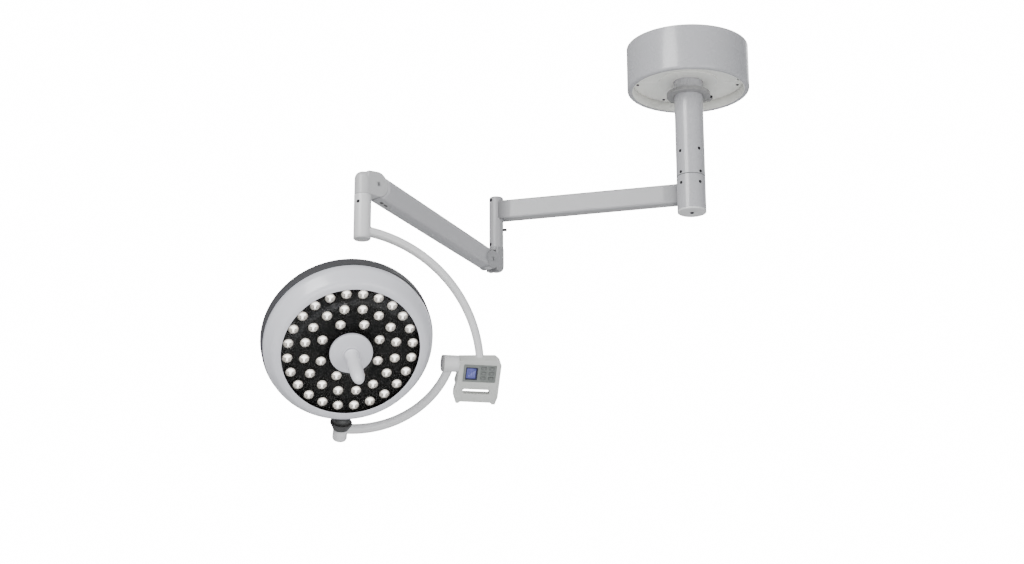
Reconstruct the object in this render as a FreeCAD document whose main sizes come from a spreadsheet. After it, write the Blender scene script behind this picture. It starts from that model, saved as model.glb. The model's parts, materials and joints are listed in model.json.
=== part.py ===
# Ceiling-mounted operating light: one lamp head on a two-piece arm system.
# Millimetres.  Origin: centre of the ceiling plate's top face.  +Z up.
# Rest position: extension arm out to -X, spring arm folded back towards -Y,
# lamp head facing down and towards -Y.
import FreeCAD, Part
import os, math
from FreeCAD import Vector as V, Rotation, Placement

doc = FreeCAD.newDocument("surgical_light")
sheet = doc.addObject("Spreadsheet::Sheet", "sizes")

SIZES = [
    # ceiling side
    ("canopyRad", 190.0), ("canopyHigh", 146.0), ("canopyWall", 3.0), ("canopyRound", 22.0),
    ("plateRad", 150.0), ("plateThick", 12.0), ("boltCircle", 250.0), ("boltHoleRad", 6.5), ("boltCount", 6),
    ("neckRad", 42.0), ("neckWall", 6.0), ("neckFlangeRad", 75.0), ("flangeThick", 10.0), ("neckLow", 70.0),
    ("tubeRad", 44.5), ("tubeWall", 4.0), ("tubeLow", 431.7), ("seamGap", 0.6),
    ("ceilingRecess", 112.0), ("collarRad", 68.0), ("collarTop", 154.0), ("collarHigh", 12.0),
    # extension arm
    ("armAngle", 165.06), ("armLong", 621.6), ("hubLow", 547.1), ("spindleRad", 28.0), ("bushWall", 8.0),
    ("beamWide", 40.0), ("beamHigh", 62.0), ("beamWall", 3.0), ("beamTop", 454.4), ("postRad", 22.0),
    ("postTop", 440.2), ("postLow", 609.0), ("postWall", 4.0), ("elbowShaftRad", 12.0), ("runGap", 0.05),
    # spring arm
    ("springAngle", 226.72), ("springFlat", 568.8), ("elbowPivotOut", 38.0), ("elbowPivotLow", 655.0),
    ("knucklePivotIn", 39.8), ("knucklePivotLow", 538.0), ("shellWide", 50.0), ("shellHighA", 56.0),
    ("shellHighB", 70.0), ("shellWall", 4.0), ("elbowWide", 47.0), ("elbowCheekRad", 28.0),
    ("knuckleCheekRad", 38.5), ("pivotPinRad", 6.0), ("levelDrop", 15.0), ("levelPinRad", 3.0),
    # yoke
    ("yokeAngle", 11.0), ("sleeveRad", 25.6), ("sleeveTop", 577.6), ("sleeveLow", 714.2), ("lampShaftRad", 11.0),
    ("bowBack", 51.0), ("bowLow", 1085.4), ("bowRad", 402.3), ("bowTubeA", 15.0), ("bowTubeB", 11.7),
    ("tiltAxisLow", 1077.0), ("drumNear", 237.5), ("drumFar", 283.0), ("drumRad", 24.5), ("axleRad", 10.0),
    ("boxTilt", 40.0), ("boxNear", 287.0), ("boxWide", 124.0), ("boxDeep", 43.0), ("boxUp", 18.0), ("boxDown", 116.0),
    # cross arm and lamp head
    ("crossTilt", 43.36), ("crossRad", 278.2), ("crossMidX", -10.6), ("crossMidZ", 46.4), ("crossTubeA", 13.0),
    ("crossTubeB", 15.0), ("headAxisX", -34.0), ("coneTop", 209.0), ("socketTop", 232.0), ("socketLow", 270.0),
    ("coneRadTop", 30.0), ("coneRadLow", 23.0), ("socketRad", 21.5), ("headPinRad", 9.0), ("headYaw", 3.916),
    ("headX", -35.0), ("headY", -54.0), ("headZ", 51.0), ("headRad", 248.0), ("windowRad", 199.0),
    ("panelRad", 201.0), ("lensRad", 16.2), ("ledRadOut", 179.9), ("ledRadMid", 132.8), ("ledRadIn", 88.5),
    ("hubDiscRad", 62.0), ("gripRad", 19.5), ("gripLong", 92.0),
    ("buttonHigh", 9.0), ("buttonWide", 15.0),
]
for i, (name, val) in enumerate(SIZES, start=1):
    sheet.set("A%d" % i, name)
    sheet.set("B%d" % i, "%g" % val)
    sheet.setAlias("B%d" % i, name)
doc.recompute()


def S(name):
    return float(getattr(sheet, name))


PARTS = []        # (node name, object)


def ex(e):
    """An expression from a number or from text in which @name stands for a cell."""
    return ("%g" % e) if isinstance(e, (int, float)) else e.replace("@", "sizes.")


def val(e):
    if isinstance(e, (int, float)):
        return float(e)
    return float(sheet.evalExpression(ex(e)))


def plane(body, role):
    for f in body.Origin.OriginFeatures:
        if f.Role == role:
            return f


def new_body(name, place=None):
    b = doc.addObject("PartDesign::Body", name)
    b.Label = name
    b.Placement = place or Placement()
    PARTS.append((name, b))
    return b


def sketch(body, role, loops, circles=(), offset=None):
    """Sketch on an origin plane: closed polylines and circles, every coordinate an expression."""
    sk = body.newObject("Sketcher::SketchObject", body.Name + "_sk")
    sk.AttachmentSupport = (plane(body, role), [""])
    sk.MapMode = "FlatFace"
    if offset is not None:
        sk.setExpression("AttachmentOffset.Base.z", ex(offset))
    Sk = __import__("Sketcher")
    for pts in loops:
        n0 = sk.GeometryCount
        xy = [V(val(p[0]), val(p[1]), 0) for p in pts]
        n = len(xy)
        for i in range(n):
            sk.addGeometry(Part.LineSegment(xy[i], xy[(i + 1) % n]), False)
        for i in range(n):
            sk.addConstraint(Sk.Constraint("Coincident", n0 + i, 2, n0 + (i + 1) % n, 1))
        for i in range(n):
            for k, kind in ((0, "DistanceX"), (1, "DistanceY")):
                c = sk.addConstraint(Sk.Constraint(kind, -1, 1, n0 + i, 1, val(pts[i][k])))
                if not isinstance(pts[i][k], (int, float)):
                    sk.setExpression("Constraints[%d]" % c, ex(pts[i][k]))
    for cx, cy, r in circles:
        g = sk.addGeometry(Part.Circle(V(val(cx), val(cy), 0), V(0, 0, 1), val(r)), False)
        for k, kind, e in ((0, "DistanceX", cx), (1, "DistanceY", cy)):
            c = sk.addConstraint(Sk.Constraint(kind, -1, 1, g, 3, val(e)))
            if not isinstance(e, (int, float)):
                sk.setExpression("Constraints[%d]" % c, ex(e))
        c = sk.addConstraint(Sk.Constraint("Radius", g, val(r)))
        if not isinstance(r, (int, float)):
            sk.setExpression("Constraints[%d]" % c, ex(r))
    return sk


def revolve(body, pts, cut=False, role="XZ_Plane", axis="V_Axis"):
    """Revolve a closed (radius, height) profile about the body's Z axis."""
    sk = sketch(body, role, [pts])
    f = body.newObject("PartDesign::Groove" if cut else "PartDesign::Revolution", body.Name + "_rev")
    f.Profile = (sk, [""])
    f.ReferenceAxis = (sk, [axis])
    f.Angle = 360
    return f


def pad(body, role, length, loops=(), circles=(), offset=None, mid=False, rev=False):
    sk = sketch(body, role, loops, circles, offset)
    f = body.newObject("PartDesign::Pad", body.Name + "_pad")
    f.Profile = (sk, [""])
    f.setExpression("Length", ex(length))
    if mid:
        f.Midplane = True
    f.Reversed = rev
    return f


def pocket(body, role, length, loops=(), circles=(), offset=None, mid=False, rev=False):
    """A pocket whose direction is tested: it must take material away."""
    doc.recompute()
    before = body.Shape.Volume
    sk = sketch(body, role, loops, circles, offset)
    f = body.newObject("PartDesign::Pocket", body.Name + "_cut")
    f.Profile = (sk, [""])
    f.setExpression("Length", ex(length))
    if mid:
        f.Midplane = True
    f.Reversed = rev
    doc.recompute()
    if not body.Shape.Volume < before - 1e-3:
        f.Reversed = not rev
        doc.recompute()
    if not body.Shape.Volume < before - 1e-3:
        raise RuntimeError(body.Name + ": a pocket took nothing away")
    return f


def polar(body, feature, count):
    p = body.newObject("PartDesign::PolarPattern", body.Name + "_pattern")
    p.Originals = [feature]
    p.Axis = (plane(body, "Z_Axis"), [""])
    p.Angle = 360
    p.setExpression("Occurrences", ex(count))
    body.Tip = p
    return p


def feature(name, shape, place=None):
    """A solid set straight from the sheet's sizes, where no parametric feature fits."""
    o = doc.addObject("Part::Feature", name)
    o.Label = name
    o.Shape = shape
    o.Placement = (place or Placement()).multiply(shape.Placement)
    PARTS.append((name, o))
    return o


def turned(points):
    """Solid of revolution about Z from a closed (radius, height) outline."""
    w = Part.makePolygon([V(r, 0, z) for r, z in points + points[:1]])
    return Part.Face(w).revolve(V(0, 0, 0), V(0, 0, 1), 360)


def rounded_bar(x0, x1, hy, z0, z1, r):
    """Box with its four edges along X rounded."""
    b = Part.makeBox(x1 - x0, 2 * hy, z1 - z0, V(x0, -hy, z0))
    e = [k for k in b.Edges if abs(k.tangentAt(k.FirstParameter).x) > 0.99]
    return b.makeFillet(r, e)


def cyl(r, a, b, pos=(0, 0, 0), d=(0, 0, 1)):
    """Cylinder of radius r from a to b along d, measured from pos."""
    d = V(*d)
    d.normalize()
    return Part.makeCylinder(r, b - a, V(*pos) + d * a, d)


def slotted_screw(r_head, h_head, r_shank, length):
    """Pan-head screw along +Z: the head's underside at z=0, the shank below."""
    head = turned([(0, 0), (r_head, 0), (r_head, h_head * 0.55), (r_head * 0.72, h_head), (0, h_head)])
    s = head.fuse(Part.makeCylinder(r_shank, length, V(0, 0, -length))).removeSplitter()
    return s.cut(Part.makeBox(r_head * 2.2, r_head * 0.28, h_head * 0.5, V(-r_head * 1.1, -r_head * 0.14, h_head * 0.6)))


def swept_tube(path, radii, wall=None):
    """Tapered round tube through a list of points; a loft of circles square to the path."""
    def loft(inset):
        ws = []
        n = len(path)
        for i, p in enumerate(path):
            a = path[max(i - 1, 0)]
            b = path[min(i + 1, n - 1)]
            ws.append(Part.Wire(Part.makeCircle(radii[i] - inset, p, (b - a).normalize())))
        return Part.makeLoft(ws, True, False)
    s = loft(0)
    return s if wall is None else s.cut(loft(wall))


# ---------------------------------------------------------------- frames
Z = V(0, 0, 1)
F0 = Placement()
A1 = Placement(V(0, 0, 0), Rotation(Z, S("armAngle")))
E1 = A1.multVec(V(S("armLong"), 0, 0))
A2 = Placement(E1, Rotation(Z, S("springAngle")))
E2 = A2.multVec(V(S("springFlat"), 0, 0))
P1 = A2.multVec(V(S("elbowPivotOut"), 0, -S("elbowPivotLow")))
P2 = A2.multVec(V(S("springFlat") - S("knucklePivotIn"), 0, -S("knucklePivotLow")))
reach = S("springFlat") - S("knucklePivotIn") - S("elbowPivotOut")
rise = S("elbowPivotLow") - S("knucklePivotLow")
LIFT = math.degrees(math.atan2(rise, reach))          # spring arm's slope at rest
SPAN = math.hypot(rise, reach)                        # pivot to pivot
R_A2 = Rotation(Z, S("springAngle"))
R_SPRING = R_A2.multiply(Rotation(V(0, 1, 0), -LIFT))
FS = Placement(P1, R_SPRING)                          # spring arm: X along the arm, from the elbow pivot
A3 = Placement(E2, Rotation(Z, S("yokeAngle")))       # yoke: X along the tilt axis
TB = A3.multVec(V(0, 0, -S("tiltAxisLow")))
R_X = Rotation(Z, S("yokeAngle")).multiply(Rotation(V(1, 0, 0), S("crossTilt")))
FX = Placement(TB, R_X)                               # cross arm: X tilt axis, -Z towards the head's pivot
R_BOX = Rotation(Z, S("yokeAngle")).multiply(Rotation(V(1, 0, 0), S("boxTilt")))
FB = Placement(TB, R_BOX)                             # control box
R_HEAD = R_X.multiply(Rotation(Z, S("headYaw"))).multiply(Rotation(V(1, 0, 0), 90))
FH = Placement(FX.multVec(V(S("headX"), S("headY"), S("headZ"))), R_HEAD)   # head: +Z is the light's direction

# ---------------------------------------------------------------- ceiling mount
b = new_body("ceiling_plate")
pad(b, "XY_Plane", "@plateThick", circles=[(0, 0, "@plateRad"), (0, 0, 30)], rev=True)
h = pocket(b, "XY_Plane", "@plateThick + 2", circles=[("@boltCircle / 2", 0, "@boltHoleRad")])
polar(b, h, "@boltCount")

b = new_body("neck_flange")
revolve(b, [("@neckRad - @neckWall", "-@plateThick"), ("@neckRad", "-@plateThick"), ("@neckRad", "-@neckLow + @flangeThick"),
            ("@neckFlangeRad", "-@neckLow + @flangeThick"), ("@neckFlangeRad", "-@neckLow"),
            ("@neckRad - @neckWall", "-@neckLow")])
h = pocket(b, "XY_Plane", "@neckLow + 5", circles=[(60, 0, 5.3)])
polar(b, h, 6)

b = new_body("drop_tube")
revolve(b, [("@tubeRad - @tubeWall", "-@neckLow - 0.05"), ("@neckFlangeRad", "-@neckLow - 0.05"),
            ("@neckFlangeRad", "-@neckLow - @flangeThick"), ("@tubeRad", "-@neckLow - @flangeThick"),
            ("@tubeRad", "-@tubeLow"), ("@tubeRad - @tubeWall", "-@tubeLow")])
h = pocket(b, "XY_Plane", "@neckLow + @flangeThick + 4", circles=[(60, 0, 5.3)])
polar(b, h, 6)

bolt = turned([(0, 4), (9, 4), (9, 10), (5, 10), (5, 34), (9, 34), (9, 42), (4.2, 42), (4.2, 46), (0, 46)])
zt = -S("neckLow") + S("flangeThick") + 10.05
bolts = []
for i in range(6):
    a = math.radians(60 * i)
    q = bolt.copy()
    q.Placement = Placement(V(60 * math.cos(a), 60 * math.sin(a), zt), Rotation(V(1, 0, 0), 180))
    bolts.append(q)
feature("flange_bolts", Part.makeCompound(bolts))

b = new_body("canopy_shell")
n = 8
arc = [("@canopyRad - @canopyRound + @canopyRound * %g" % math.cos(math.radians(90 * k / n)),
        "-@canopyHigh + @canopyRound - @canopyRound * %g" % math.sin(math.radians(90 * k / n))) for k in range(n + 1)]
inner = [("@canopyRad - @canopyRound + (@canopyRound - @canopyWall) * %g" % math.cos(math.radians(90 * k / n)),
          "-@canopyHigh + @canopyRound - (@canopyRound - @canopyWall) * %g" % math.sin(math.radians(90 * k / n)))
         for k in range(n, -1, -1)]
revolve(b, [("@canopyRad", -3)] + arc + [("@canopyRad - @canopyRound - 4", "-@canopyHigh"),
        ("@canopyRad - @canopyRound - 4", "-@ceilingRecess - 0.1"), ("@canopyRad - @canopyRound - 16", "-@ceilingRecess - 0.1"),
        ("@canopyRad - @canopyRound - 16", "-@ceilingRecess + 2.9"), ("@canopyRad - @canopyRound - 1", "-@ceilingRecess + 2.9"),
        ("@canopyRad - @canopyRound - 1", "-@canopyHigh + @canopyWall")] + inner + [("@canopyRad - @canopyWall", -3)])

for name, side in (("underside_plate_left", -1), ("underside_plate_right", 1)):
    ro, ri, t = S("canopyRad") - S("canopyRound") - 4.6, 66.0, 3.0
    z = -S("ceilingRecess") - 0.2
    s = Part.makeCylinder(ro, t, V(0, 0, z - t)).cut(Part.makeCylinder(ri, t, V(0, 0, z - t)))
    s = s.common(Part.makeBox(2 * ro, 2 * ro, t, V(0.4 if side > 0 else -0.4 - 2 * ro, -ro, z - t)))
    for a in (25, 90 - 8, -25, -90 + 8):
        c = V((ro - 6) * math.cos(math.radians(a)) * side, (ro - 6) * math.sin(math.radians(a)), z - t)
        s = s.cut(Part.makeCylinder(2.2, t, c))
    feature(name, s, Placement(V(0, 0, 0), Rotation(Z, 90)))

b = new_body("underside_disc")
revolve(b, [("@tubeRad + 1", "-@ceilingRecess - 3.4"), (92, "-@ceilingRecess - 3.4"), (92, "-@ceilingRecess - 5.2"),
            (90.8, "-@ceilingRecess - 6.4"), ("@tubeRad + 1", "-@ceilingRecess - 6.4")])

scr = slotted_screw(4.4, 2.4, 2.0, 2.6)
group = []
ro = S("canopyRad") - S("canopyRound") - 4.6 - 6
for side in (1, -1):
    for a in (25, 82, -25, -82):
        x, y = ro * math.cos(math.radians(a)) * side, ro * math.sin(math.radians(a))
        q = scr.copy()
        q.Placement = Placement(V(-y, x, -S("ceilingRecess") - 3.25), Rotation(V(1, 0, 0), 180))
        group.append(q)
feature("underside_screws", Part.makeCompound(group))

# split collar: open on the right-hand side, with a pinch screw across the gap
zc, hc = -S("collarTop") - S("collarHigh"), S("collarHigh")
ring = Part.makeCylinder(S("collarRad"), hc, V(0, 0, zc)).cut(Part.makeCylinder(S("tubeRad") + 0.1, hc, V(0, 0, zc)))
lug = Part.makeBox(18, 24, hc, V(S("collarRad") - 8, -12, zc))
ring = ring.fuse(lug).removeSplitter().cut(Part.makeBox(60, 5, hc, V(S("tubeRad") - 6, -2.5, zc)))
ring = ring.cut(cyl(2.6, -20, 20, (S("collarRad") + 3.5, 0, zc + hc / 2), (0, 1, 0)))
ring = ring.makeChamfer(1.2, [e for e in ring.Edges if e.Curve.TypeId == "Part::GeomCircle" and abs(e.Curve.Radius - S("collarRad")) < 0.01])
feature("split_collar", ring, Placement(V(0, 0, 0), Rotation(Z, 20)))
pin = turned([(0, -15), (2.5, -15), (2.5, 12.05), (4.5, 12.05), (4.5, 16.5), (0, 16.5)]).cut(Part.makeBox(1.2, 10, 2, V(-0.6, -5, 15)))
pin.Placement = Placement(V(S("collarRad") + 3.5, 0, zc + hc / 2), Rotation(V(1, 0, 0), -90))
pin = pin.fuse(cyl(4.4, -15, -12.05, (S("collarRad") + 3.5, 0, zc + hc / 2), (0, 1, 0)))
feature("collar_pinch_screw", pin, Placement(V(0, 0, 0), Rotation(Z, 20)))

b = new_body("swivel_spindle")
revolve(b, [(10, -385), ("@tubeRad - @tubeWall - 0.05", -385), ("@tubeRad - @tubeWall - 0.05", "-@tubeLow + 4"), (32, "-@tubeLow + 4"),
            (32, "-@tubeLow - 2"), ("@spindleRad", "-@tubeLow - 2"), ("@spindleRad", "-@hubLow + 14"), (10, "-@hubLow + 14")])

# blind set screws round the tube's lower end and the hub, standing 1.5 mm proud in shallow seats
def set_screws(name, rad, spots, place=None):
    group = []
    for a, z in spots:
        d = V(math.cos(math.radians(a)), math.sin(math.radians(a)), 0)
        q = cyl(4.0, rad + 0.05, rad + 1.5, (0, 0, z), tuple(d)).cut(cyl(1.8, rad + 0.6, rad + 2, (0, 0, z), tuple(d)))
        group.append(q)
    feature(name, Part.makeCompound(group), place)


set_screws("tube_set_screws", S("tubeRad"), [(222, -355), (303, -350), (307, -424), (222, -424)])

b = new_body("driver_box", Placement(V(0, 0, 0), Rotation(Z, 120)))
pad(b, "XY_Plane", 30, loops=[[(96, -60), (146, -60), (146, 60), (96, 60)]], offset=-52)
pocket(b, "XY_Plane", 26, loops=[[(98, -58), (144, -58), (144, 58), (98, 58)]], offset=-24)

# ---------------------------------------------------------------- extension arm
b = new_body("hub_sleeve", A1)
revolve(b, [("@spindleRad + @bushWall + 0.05", "-@tubeLow - @seamGap"), ("@tubeRad", "-@tubeLow - @seamGap"),
            ("@tubeRad", "-@hubLow + 6"), ("@spindleRad + @bushWall + 0.05", "-@hubLow + 6")])
feature("hub_bushes", Part.makeCompound([
    turned([(S("spindleRad") + 0.05, z), (S("spindleRad") + S("bushWall"), z), (S("spindleRad") + S("bushWall"), z - 22), (S("spindleRad") + 0.05, z - 22)])
    for z in (-S("tubeLow") - 3, -S("hubLow") + 40)]), A1)
b = new_body("hub_end_cap", A1)
revolve(b, [(0, "-@hubLow + 5.95"), ("@tubeRad", "-@hubLow + 5.95"), ("@tubeRad", "-@hubLow + 1.5"), ("@tubeRad - 1.5", "-@hubLow"), (0, "-@hubLow")])
feature("hub_cap_screw", turned([(0, -S("hubLow") - 0.05), (5.5, -S("hubLow") - 0.05), (5.0, -S("hubLow") - 2.2), (2.2, -S("hubLow") - 2.6), (2.2, -S("hubLow") - 1.4), (0, -S("hubLow") - 1.4)]), A1)
set_screws("hub_set_screws", S("tubeRad"), [(138, -459), (57, -459)], A1)
top, high, half = -S("beamTop"), S("beamHigh"), S("beamWide") / 2
x1 = S("armLong")
outer = rounded_bar(S("tubeRad") - 6, x1, half, top - high, top, 5)
beam = outer.cut(rounded_bar(S("tubeRad") - 8, x1 + 2, half - 3, top - high + 3, top - 3, 2.5))
beam = beam.cut(Part.makeCylinder(S("tubeRad") + 0.02, 400, V(0, 0, -700))).cut(Part.makeCylinder(S("postRad") + 0.02, 400, V(x1, 0, -700)))
beam = beam.common(Part.makeBox(x1, 200, 200, V(0, -100, top - 130)))
feature("extension_beam", beam, A1)
PX = Placement(E1, Rotation(Z, S("armAngle")))
b = new_body("swivel_post", PX)
revolve(b, [("@postRad - @postWall", "-@postTop - 5"), ("@postRad", "-@postTop - 5"), ("@postRad", "-@postLow"), ("@postRad - @postWall", "-@postLow")])
b = new_body("post_cap", PX)
revolve(b, [(0, "-@postTop"), ("@postRad - 3", "-@postTop"), ("@postRad - 0.8", "-@postTop - 1"), ("@postRad", "-@postTop - 3"),
            ("@postRad", "-@postTop - 4.95"), ("@postRad - @postWall - 0.1", "-@postTop - 4.95"), ("@postRad - @postWall - 0.1", "-@postTop - 12"), (0, "-@postTop - 12")])
rb, ro = S("elbowShaftRad") + S("runGap"), S("postRad") - S("postWall") - 0.05
feature("post_bushes", Part.makeCompound([turned([(rb, z), (ro, z), (ro, z - 24), (rb, z - 24)]) for z in (-480, -S("postLow") + 26)]), PX)
# ---------------------------------------------------------------- brake screw on the post
kz = -545.0
ka = S("armAngle") * -1 + 6
FK = Placement(V(E1.x, E1.y, kz), Rotation(Z, 6).multiply(Rotation(V(0, 1, 0), 90)))
post = [o for n, o in PARTS if n == "swivel_post"][0]
rp = S("postRad")
b = new_body("brake_screw", FK)
revolve(b, [(0, "@postRad + 0.3"), (2.6, "@postRad + 0.3"), (2.6, "@postRad + 3"), (4.0, "@postRad + 3.4"), (4.0, "@postRad + 10.4"), (3.2, "@postRad + 11.2"), (0, "@postRad + 11.2")])
# ---------------------------------------------------------------- elbow
w, rc = S("elbowWide") / 2, S("elbowCheekRad")
px, pz = S("elbowPivotOut"), -S("elbowPivotLow")
zt, zb = -S("postLow") - 0.5, pz - 29.5
foot = turned([(0, zb), (w - 13, zb), (w - 7.5, zb + 2), (w - 3, zb + 6.5), (w - 0.8, zb + 12), (w, zb + 18), (w, zt), (0, zt)])
blk = Part.makeBox(20, 2 * w, zt - zb, V(0, -w, zb)).fuse(foot).removeSplitter()
disc = Part.makeCylinder(rc, 2 * w, V(px, -w, pz), V(0, 1, 0))
fill = Part.makeBox(px - 10, 2 * w, 2 * (rc - 6), V(10, -w, pz - rc + 6))
elbow = blk.fuse(disc).fuse(fill)
elbow = elbow.cut(Part.makeBox(px + 6, 31, 67, V(6, -15.5, pz - 31))).cut(Part.makeBox(60, 31, 100, V(px + 12, -15.5, pz - 46)))
elbow = elbow.cut(Part.makeCylinder(S("pivotPinRad") + 0.02, 80, V(px, -40, pz), V(0, 1, 0)))
elbow = elbow.removeSplitter()
feature("elbow_housing", elbow, A2)
b = new_body("elbow_spindle", A2)
revolve(b, [(5, -470), ("@elbowShaftRad", -470), ("@elbowShaftRad", "-@postLow - 4"), (5, "-@postLow - 4")])
# ---------------------------------------------------------------- spring arm (X along the arm from the elbow pivot)
ha, hb, hw, wl = S("shellHighA") / 2, S("shellHighB") / 2, S("shellWide") / 2, S("shellWall")
r1, r2 = rc + 0.6, S("knuckleCheekRad") + 0.6


def wedge(x0, x1, ya, za, zb_, r):
    def section(x, hz, hy):
        f = [V(x, -hy, -hz + r), V(x, -hy, hz - r), V(x, -hy + r, hz), V(x, hy - r, hz), V(x, hy, hz - r), V(x, hy, -hz + r), V(x, hy - r, -hz), V(x, -hy + r, -hz)]
        e = []
        for i in range(8):
            p, q_ = f[i], f[(i + 1) % 8]
            e.append(Part.LineSegment(p, q_).toShape())
        return Part.Wire(e)
    return Part.makeLoft([section(x0, za, ya), section(x1, zb_, ya)], True, False)


shell = wedge(0, SPAN, hw, ha, hb, 7)
shell = shell.cut(wedge(-5, SPAN + 5, hw - wl, ha - wl, hb - wl, 4))
shell = shell.cut(Part.makeCylinder(r1, 80, V(0, -40, 0), V(0, 1, 0))).cut(Part.makeCylinder(r2, 80, V(SPAN, -40, 0), V(0, 1, 0)))
shell = shell.cut(Part.makeBox(r1 * 0.9, 80, 100, V(-30, -40, -50)).fuse(Part.makeBox(60, 80, 100, V(SPAN, -40, -50))))
shell = shell.cut(Part.makeBox(60, 80, 100, V(-59.9, -40, -50)))
# open underside for the cover plate
shell = shell.cut(Part.makeBox(SPAN - 130, 34, 40, V(60, -17, -60)).common(Part.makeBox(SPAN, 60, 36, V(0, -30, -60))) )
# inner lugs at both ends, joined to the side walls
for sy in (1, -1):
    for (cx, rr, xa, xb, hz) in ((0, r1, 14.0, 50.0, 14.0), (SPAN, r2, SPAN - 62, SPAN - 14, 16.0)):
        y0 = 9.0 if sy > 0 else -14.0
        lug = Part.makeCylinder(S("levelDrop") - S("levelPinRad") - 1.0, 5, V(cx, y0, 0), V(0, 1, 0)).fuse(Part.makeBox(abs(xb - cx) if cx == 0 else SPAN - xa, 5, 11.0, V(0 if cx == 0 else xa, y0, 0)))
        bx = (r1 + 4, 12) if cx == 0 else (SPAN - r2 - 16, 12)
        yb = 13.9 if sy > 0 else -hw + wl - 0.1
        rib = Part.makeBox(bx[1], hw - wl + 0.1 - 13.9, 11.0, V(bx[0], yb, 0))
        shell = shell.fuse(lug).fuse(rib)
shell = shell.removeSplitter()
for cx in (0, SPAN):
    shell = shell.cut(Part.makeCylinder(S("pivotPinRad") + 0.05, 80, V(cx, -40, 0), V(0, 1, 0)))
feature("spring_arm_shell", shell, FS)
slope = math.degrees(math.atan2(hb - ha, SPAN))
cov = Part.makeBox(SPAN - 131, 33.8, wl, V(60.5, -16.9, -ha)).cut(Part.makeCylinder(3, 30, V(SPAN - 90, 0, -60), V(0, 0, 1)))
cov.rotate(V(0, 0, -ha), V(0, 1, 0), slope)
feature("spring_arm_cover", cov, FS)
pinh = S("elbowWide") / 2
pin = turned([(0, -pinh - 0.05), (S("pivotPinRad"), -pinh - 0.05), (S("pivotPinRad"), pinh + 0.05), (0, pinh + 0.05)])
pin.rotate(V(0, 0, 0), V(1, 0, 0), 90)
feature("elbow_pivot_pin", pin, A2.multiply(Placement(V(px, 0, pz), Rotation())))
kw = S("sleeveRad") - 0.3
pin = Part.makeCylinder(S("pivotPinRad"), 2 * kw + 0.1, V(0, -kw - 0.05, 0), V(0, 1, 0))
kx, kz2 = S("springFlat") - S("knucklePivotIn"), -S("knucklePivotLow")
feature("knuckle_pivot_pin", pin, A2.multiply(Placement(V(kx, 0, kz2), Rotation())))
# balance spring, guided on a rod inside the arm
zs = 9.0
helix = Part.makeHelix(9.0, 260, 8.5)
prof = Part.Wire(Part.makeCircle(1.9, V(8.5, 0, 0), V(0, 1, 0)))
coil = Part.Wire(helix).makePipeShell([prof], True, True)
coil.rotate(V(0, 0, 0), V(0, 1, 0), 90)
coil.translate(V(95, 0, zs))
feature("balance_spring", coil, FS)
rod = cyl(4, 64, 388, (0, 0, zs), (1, 0, 0))
feature("spring_guide_rod", rod, FS)
seats = [cyl(12, a, c, (0, 0, zs), (1, 0, 0)).cut(cyl(4.02, a - 1, c + 1, (0, 0, zs), (1, 0, 0))) for a, c in ((84, 91.5), (359, 368))]
feature("spring_seats", Part.makeCompound(seats), FS)

# ---------------------------------------------------------------- levelling rod (parallel to the arm)
lp = S("levelPinRad")
R_ROD = Placement(A2.multVec(V(px, 0, pz - S("levelDrop"))), R_SPRING)
rodb = Part.makeBox(SPAN, 8, 7, V(0, -4, -3.5))
for cx in (0, SPAN):
    rodb = rodb.fuse(Part.makeCylinder(6.0, 8, V(cx, -4, 0), V(0, 1, 0)))
rodb = rodb.removeSplitter()
rodb = rodb.cut(Part.makeCylinder(lp + 0.05, 20, V(0, -10, 0), V(0, 1, 0)))
rodb = rodb.cut(Part.makeCylinder(lp + 0.6, 20, V(SPAN, -10, 0), V(0, 1, 0)))
feature("leveling_rod", rodb, R_ROD)
feature("elbow_level_pin", Part.makeCylinder(lp, 34, V(0, -17, 0), V(0, 1, 0)), A2.multiply(Placement(V(px, 0, pz - S("levelDrop")), Rotation())))
feature("knuckle_level_pin", Part.makeCylinder(lp, 34, V(0, -17, 0), V(0, 1, 0)), A2.multiply(Placement(V(kx, 0, kz2 - S("levelDrop")), Rotation())))
# ---------------------------------------------------------------- front knuckle
E2x = S("springFlat")
zt, zb = -499.0, -S("sleeveTop") + 0.6
kw = S("sleeveRad") - 0.3
crown = turned([(0, zb), (kw, zb), (kw, zt - 27), (kw - 1.2, zt - 20), (kw - 4.5, zt - 13.5), (kw - 9.5, zt - 9), (kw - 16, zt - 6.3), (0, zt - 5)])
crown.translate(V(E2x, 0, 0))
side = [(kx, kz2 - 37.6), (kx + 12, kz2 - 37.6), (kx + 13.5, zb), (E2x, zb), (E2x, zt - 5.6), (kx + 14, kz2 + 37.0), (kx + 11, kz2 + 37.2), (kx, kz2 + 38.4)]
side = Part.Face(Part.makePolygon([V(x, -kw, z) for x, z in side + side[:1]])).extrude(V(0, 2 * kw, 0))
kn = crown.fuse(side)
kn = kn.fuse(Part.makeCylinder(S("knuckleCheekRad"), 2 * kw, V(kx, -kw, kz2), V(0, 1, 0))).removeSplitter()
kn = kn.cut(Part.makeBox(31, 31, 90, V(kx - 45, -15.5, zb - 1))).cut(Part.makeBox(30.5, 31, 70.0, V(kx - 14.5, -15.5, zb + 4)))
kn = kn.cut(Part.makeCylinder(S("pivotPinRad") + 0.02, 80, V(kx, -40, kz2), V(0, 1, 0)))
kn = kn.cut(Part.makeCylinder(S("lampShaftRad") + 0.02, 14, V(E2x, 0, zb - 1)))
feature("knuckle_housing", kn.removeSplitter(), A2)
PE = Placement(E2, Rotation(Z, S("springAngle")))
b = new_body("lamp_spindle", PE)
revolve(b, [(5, "-@sleeveTop + 13"), ("@lampShaftRad", "-@sleeveTop + 13"), ("@lampShaftRad", -700), (5, -700)])
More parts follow.
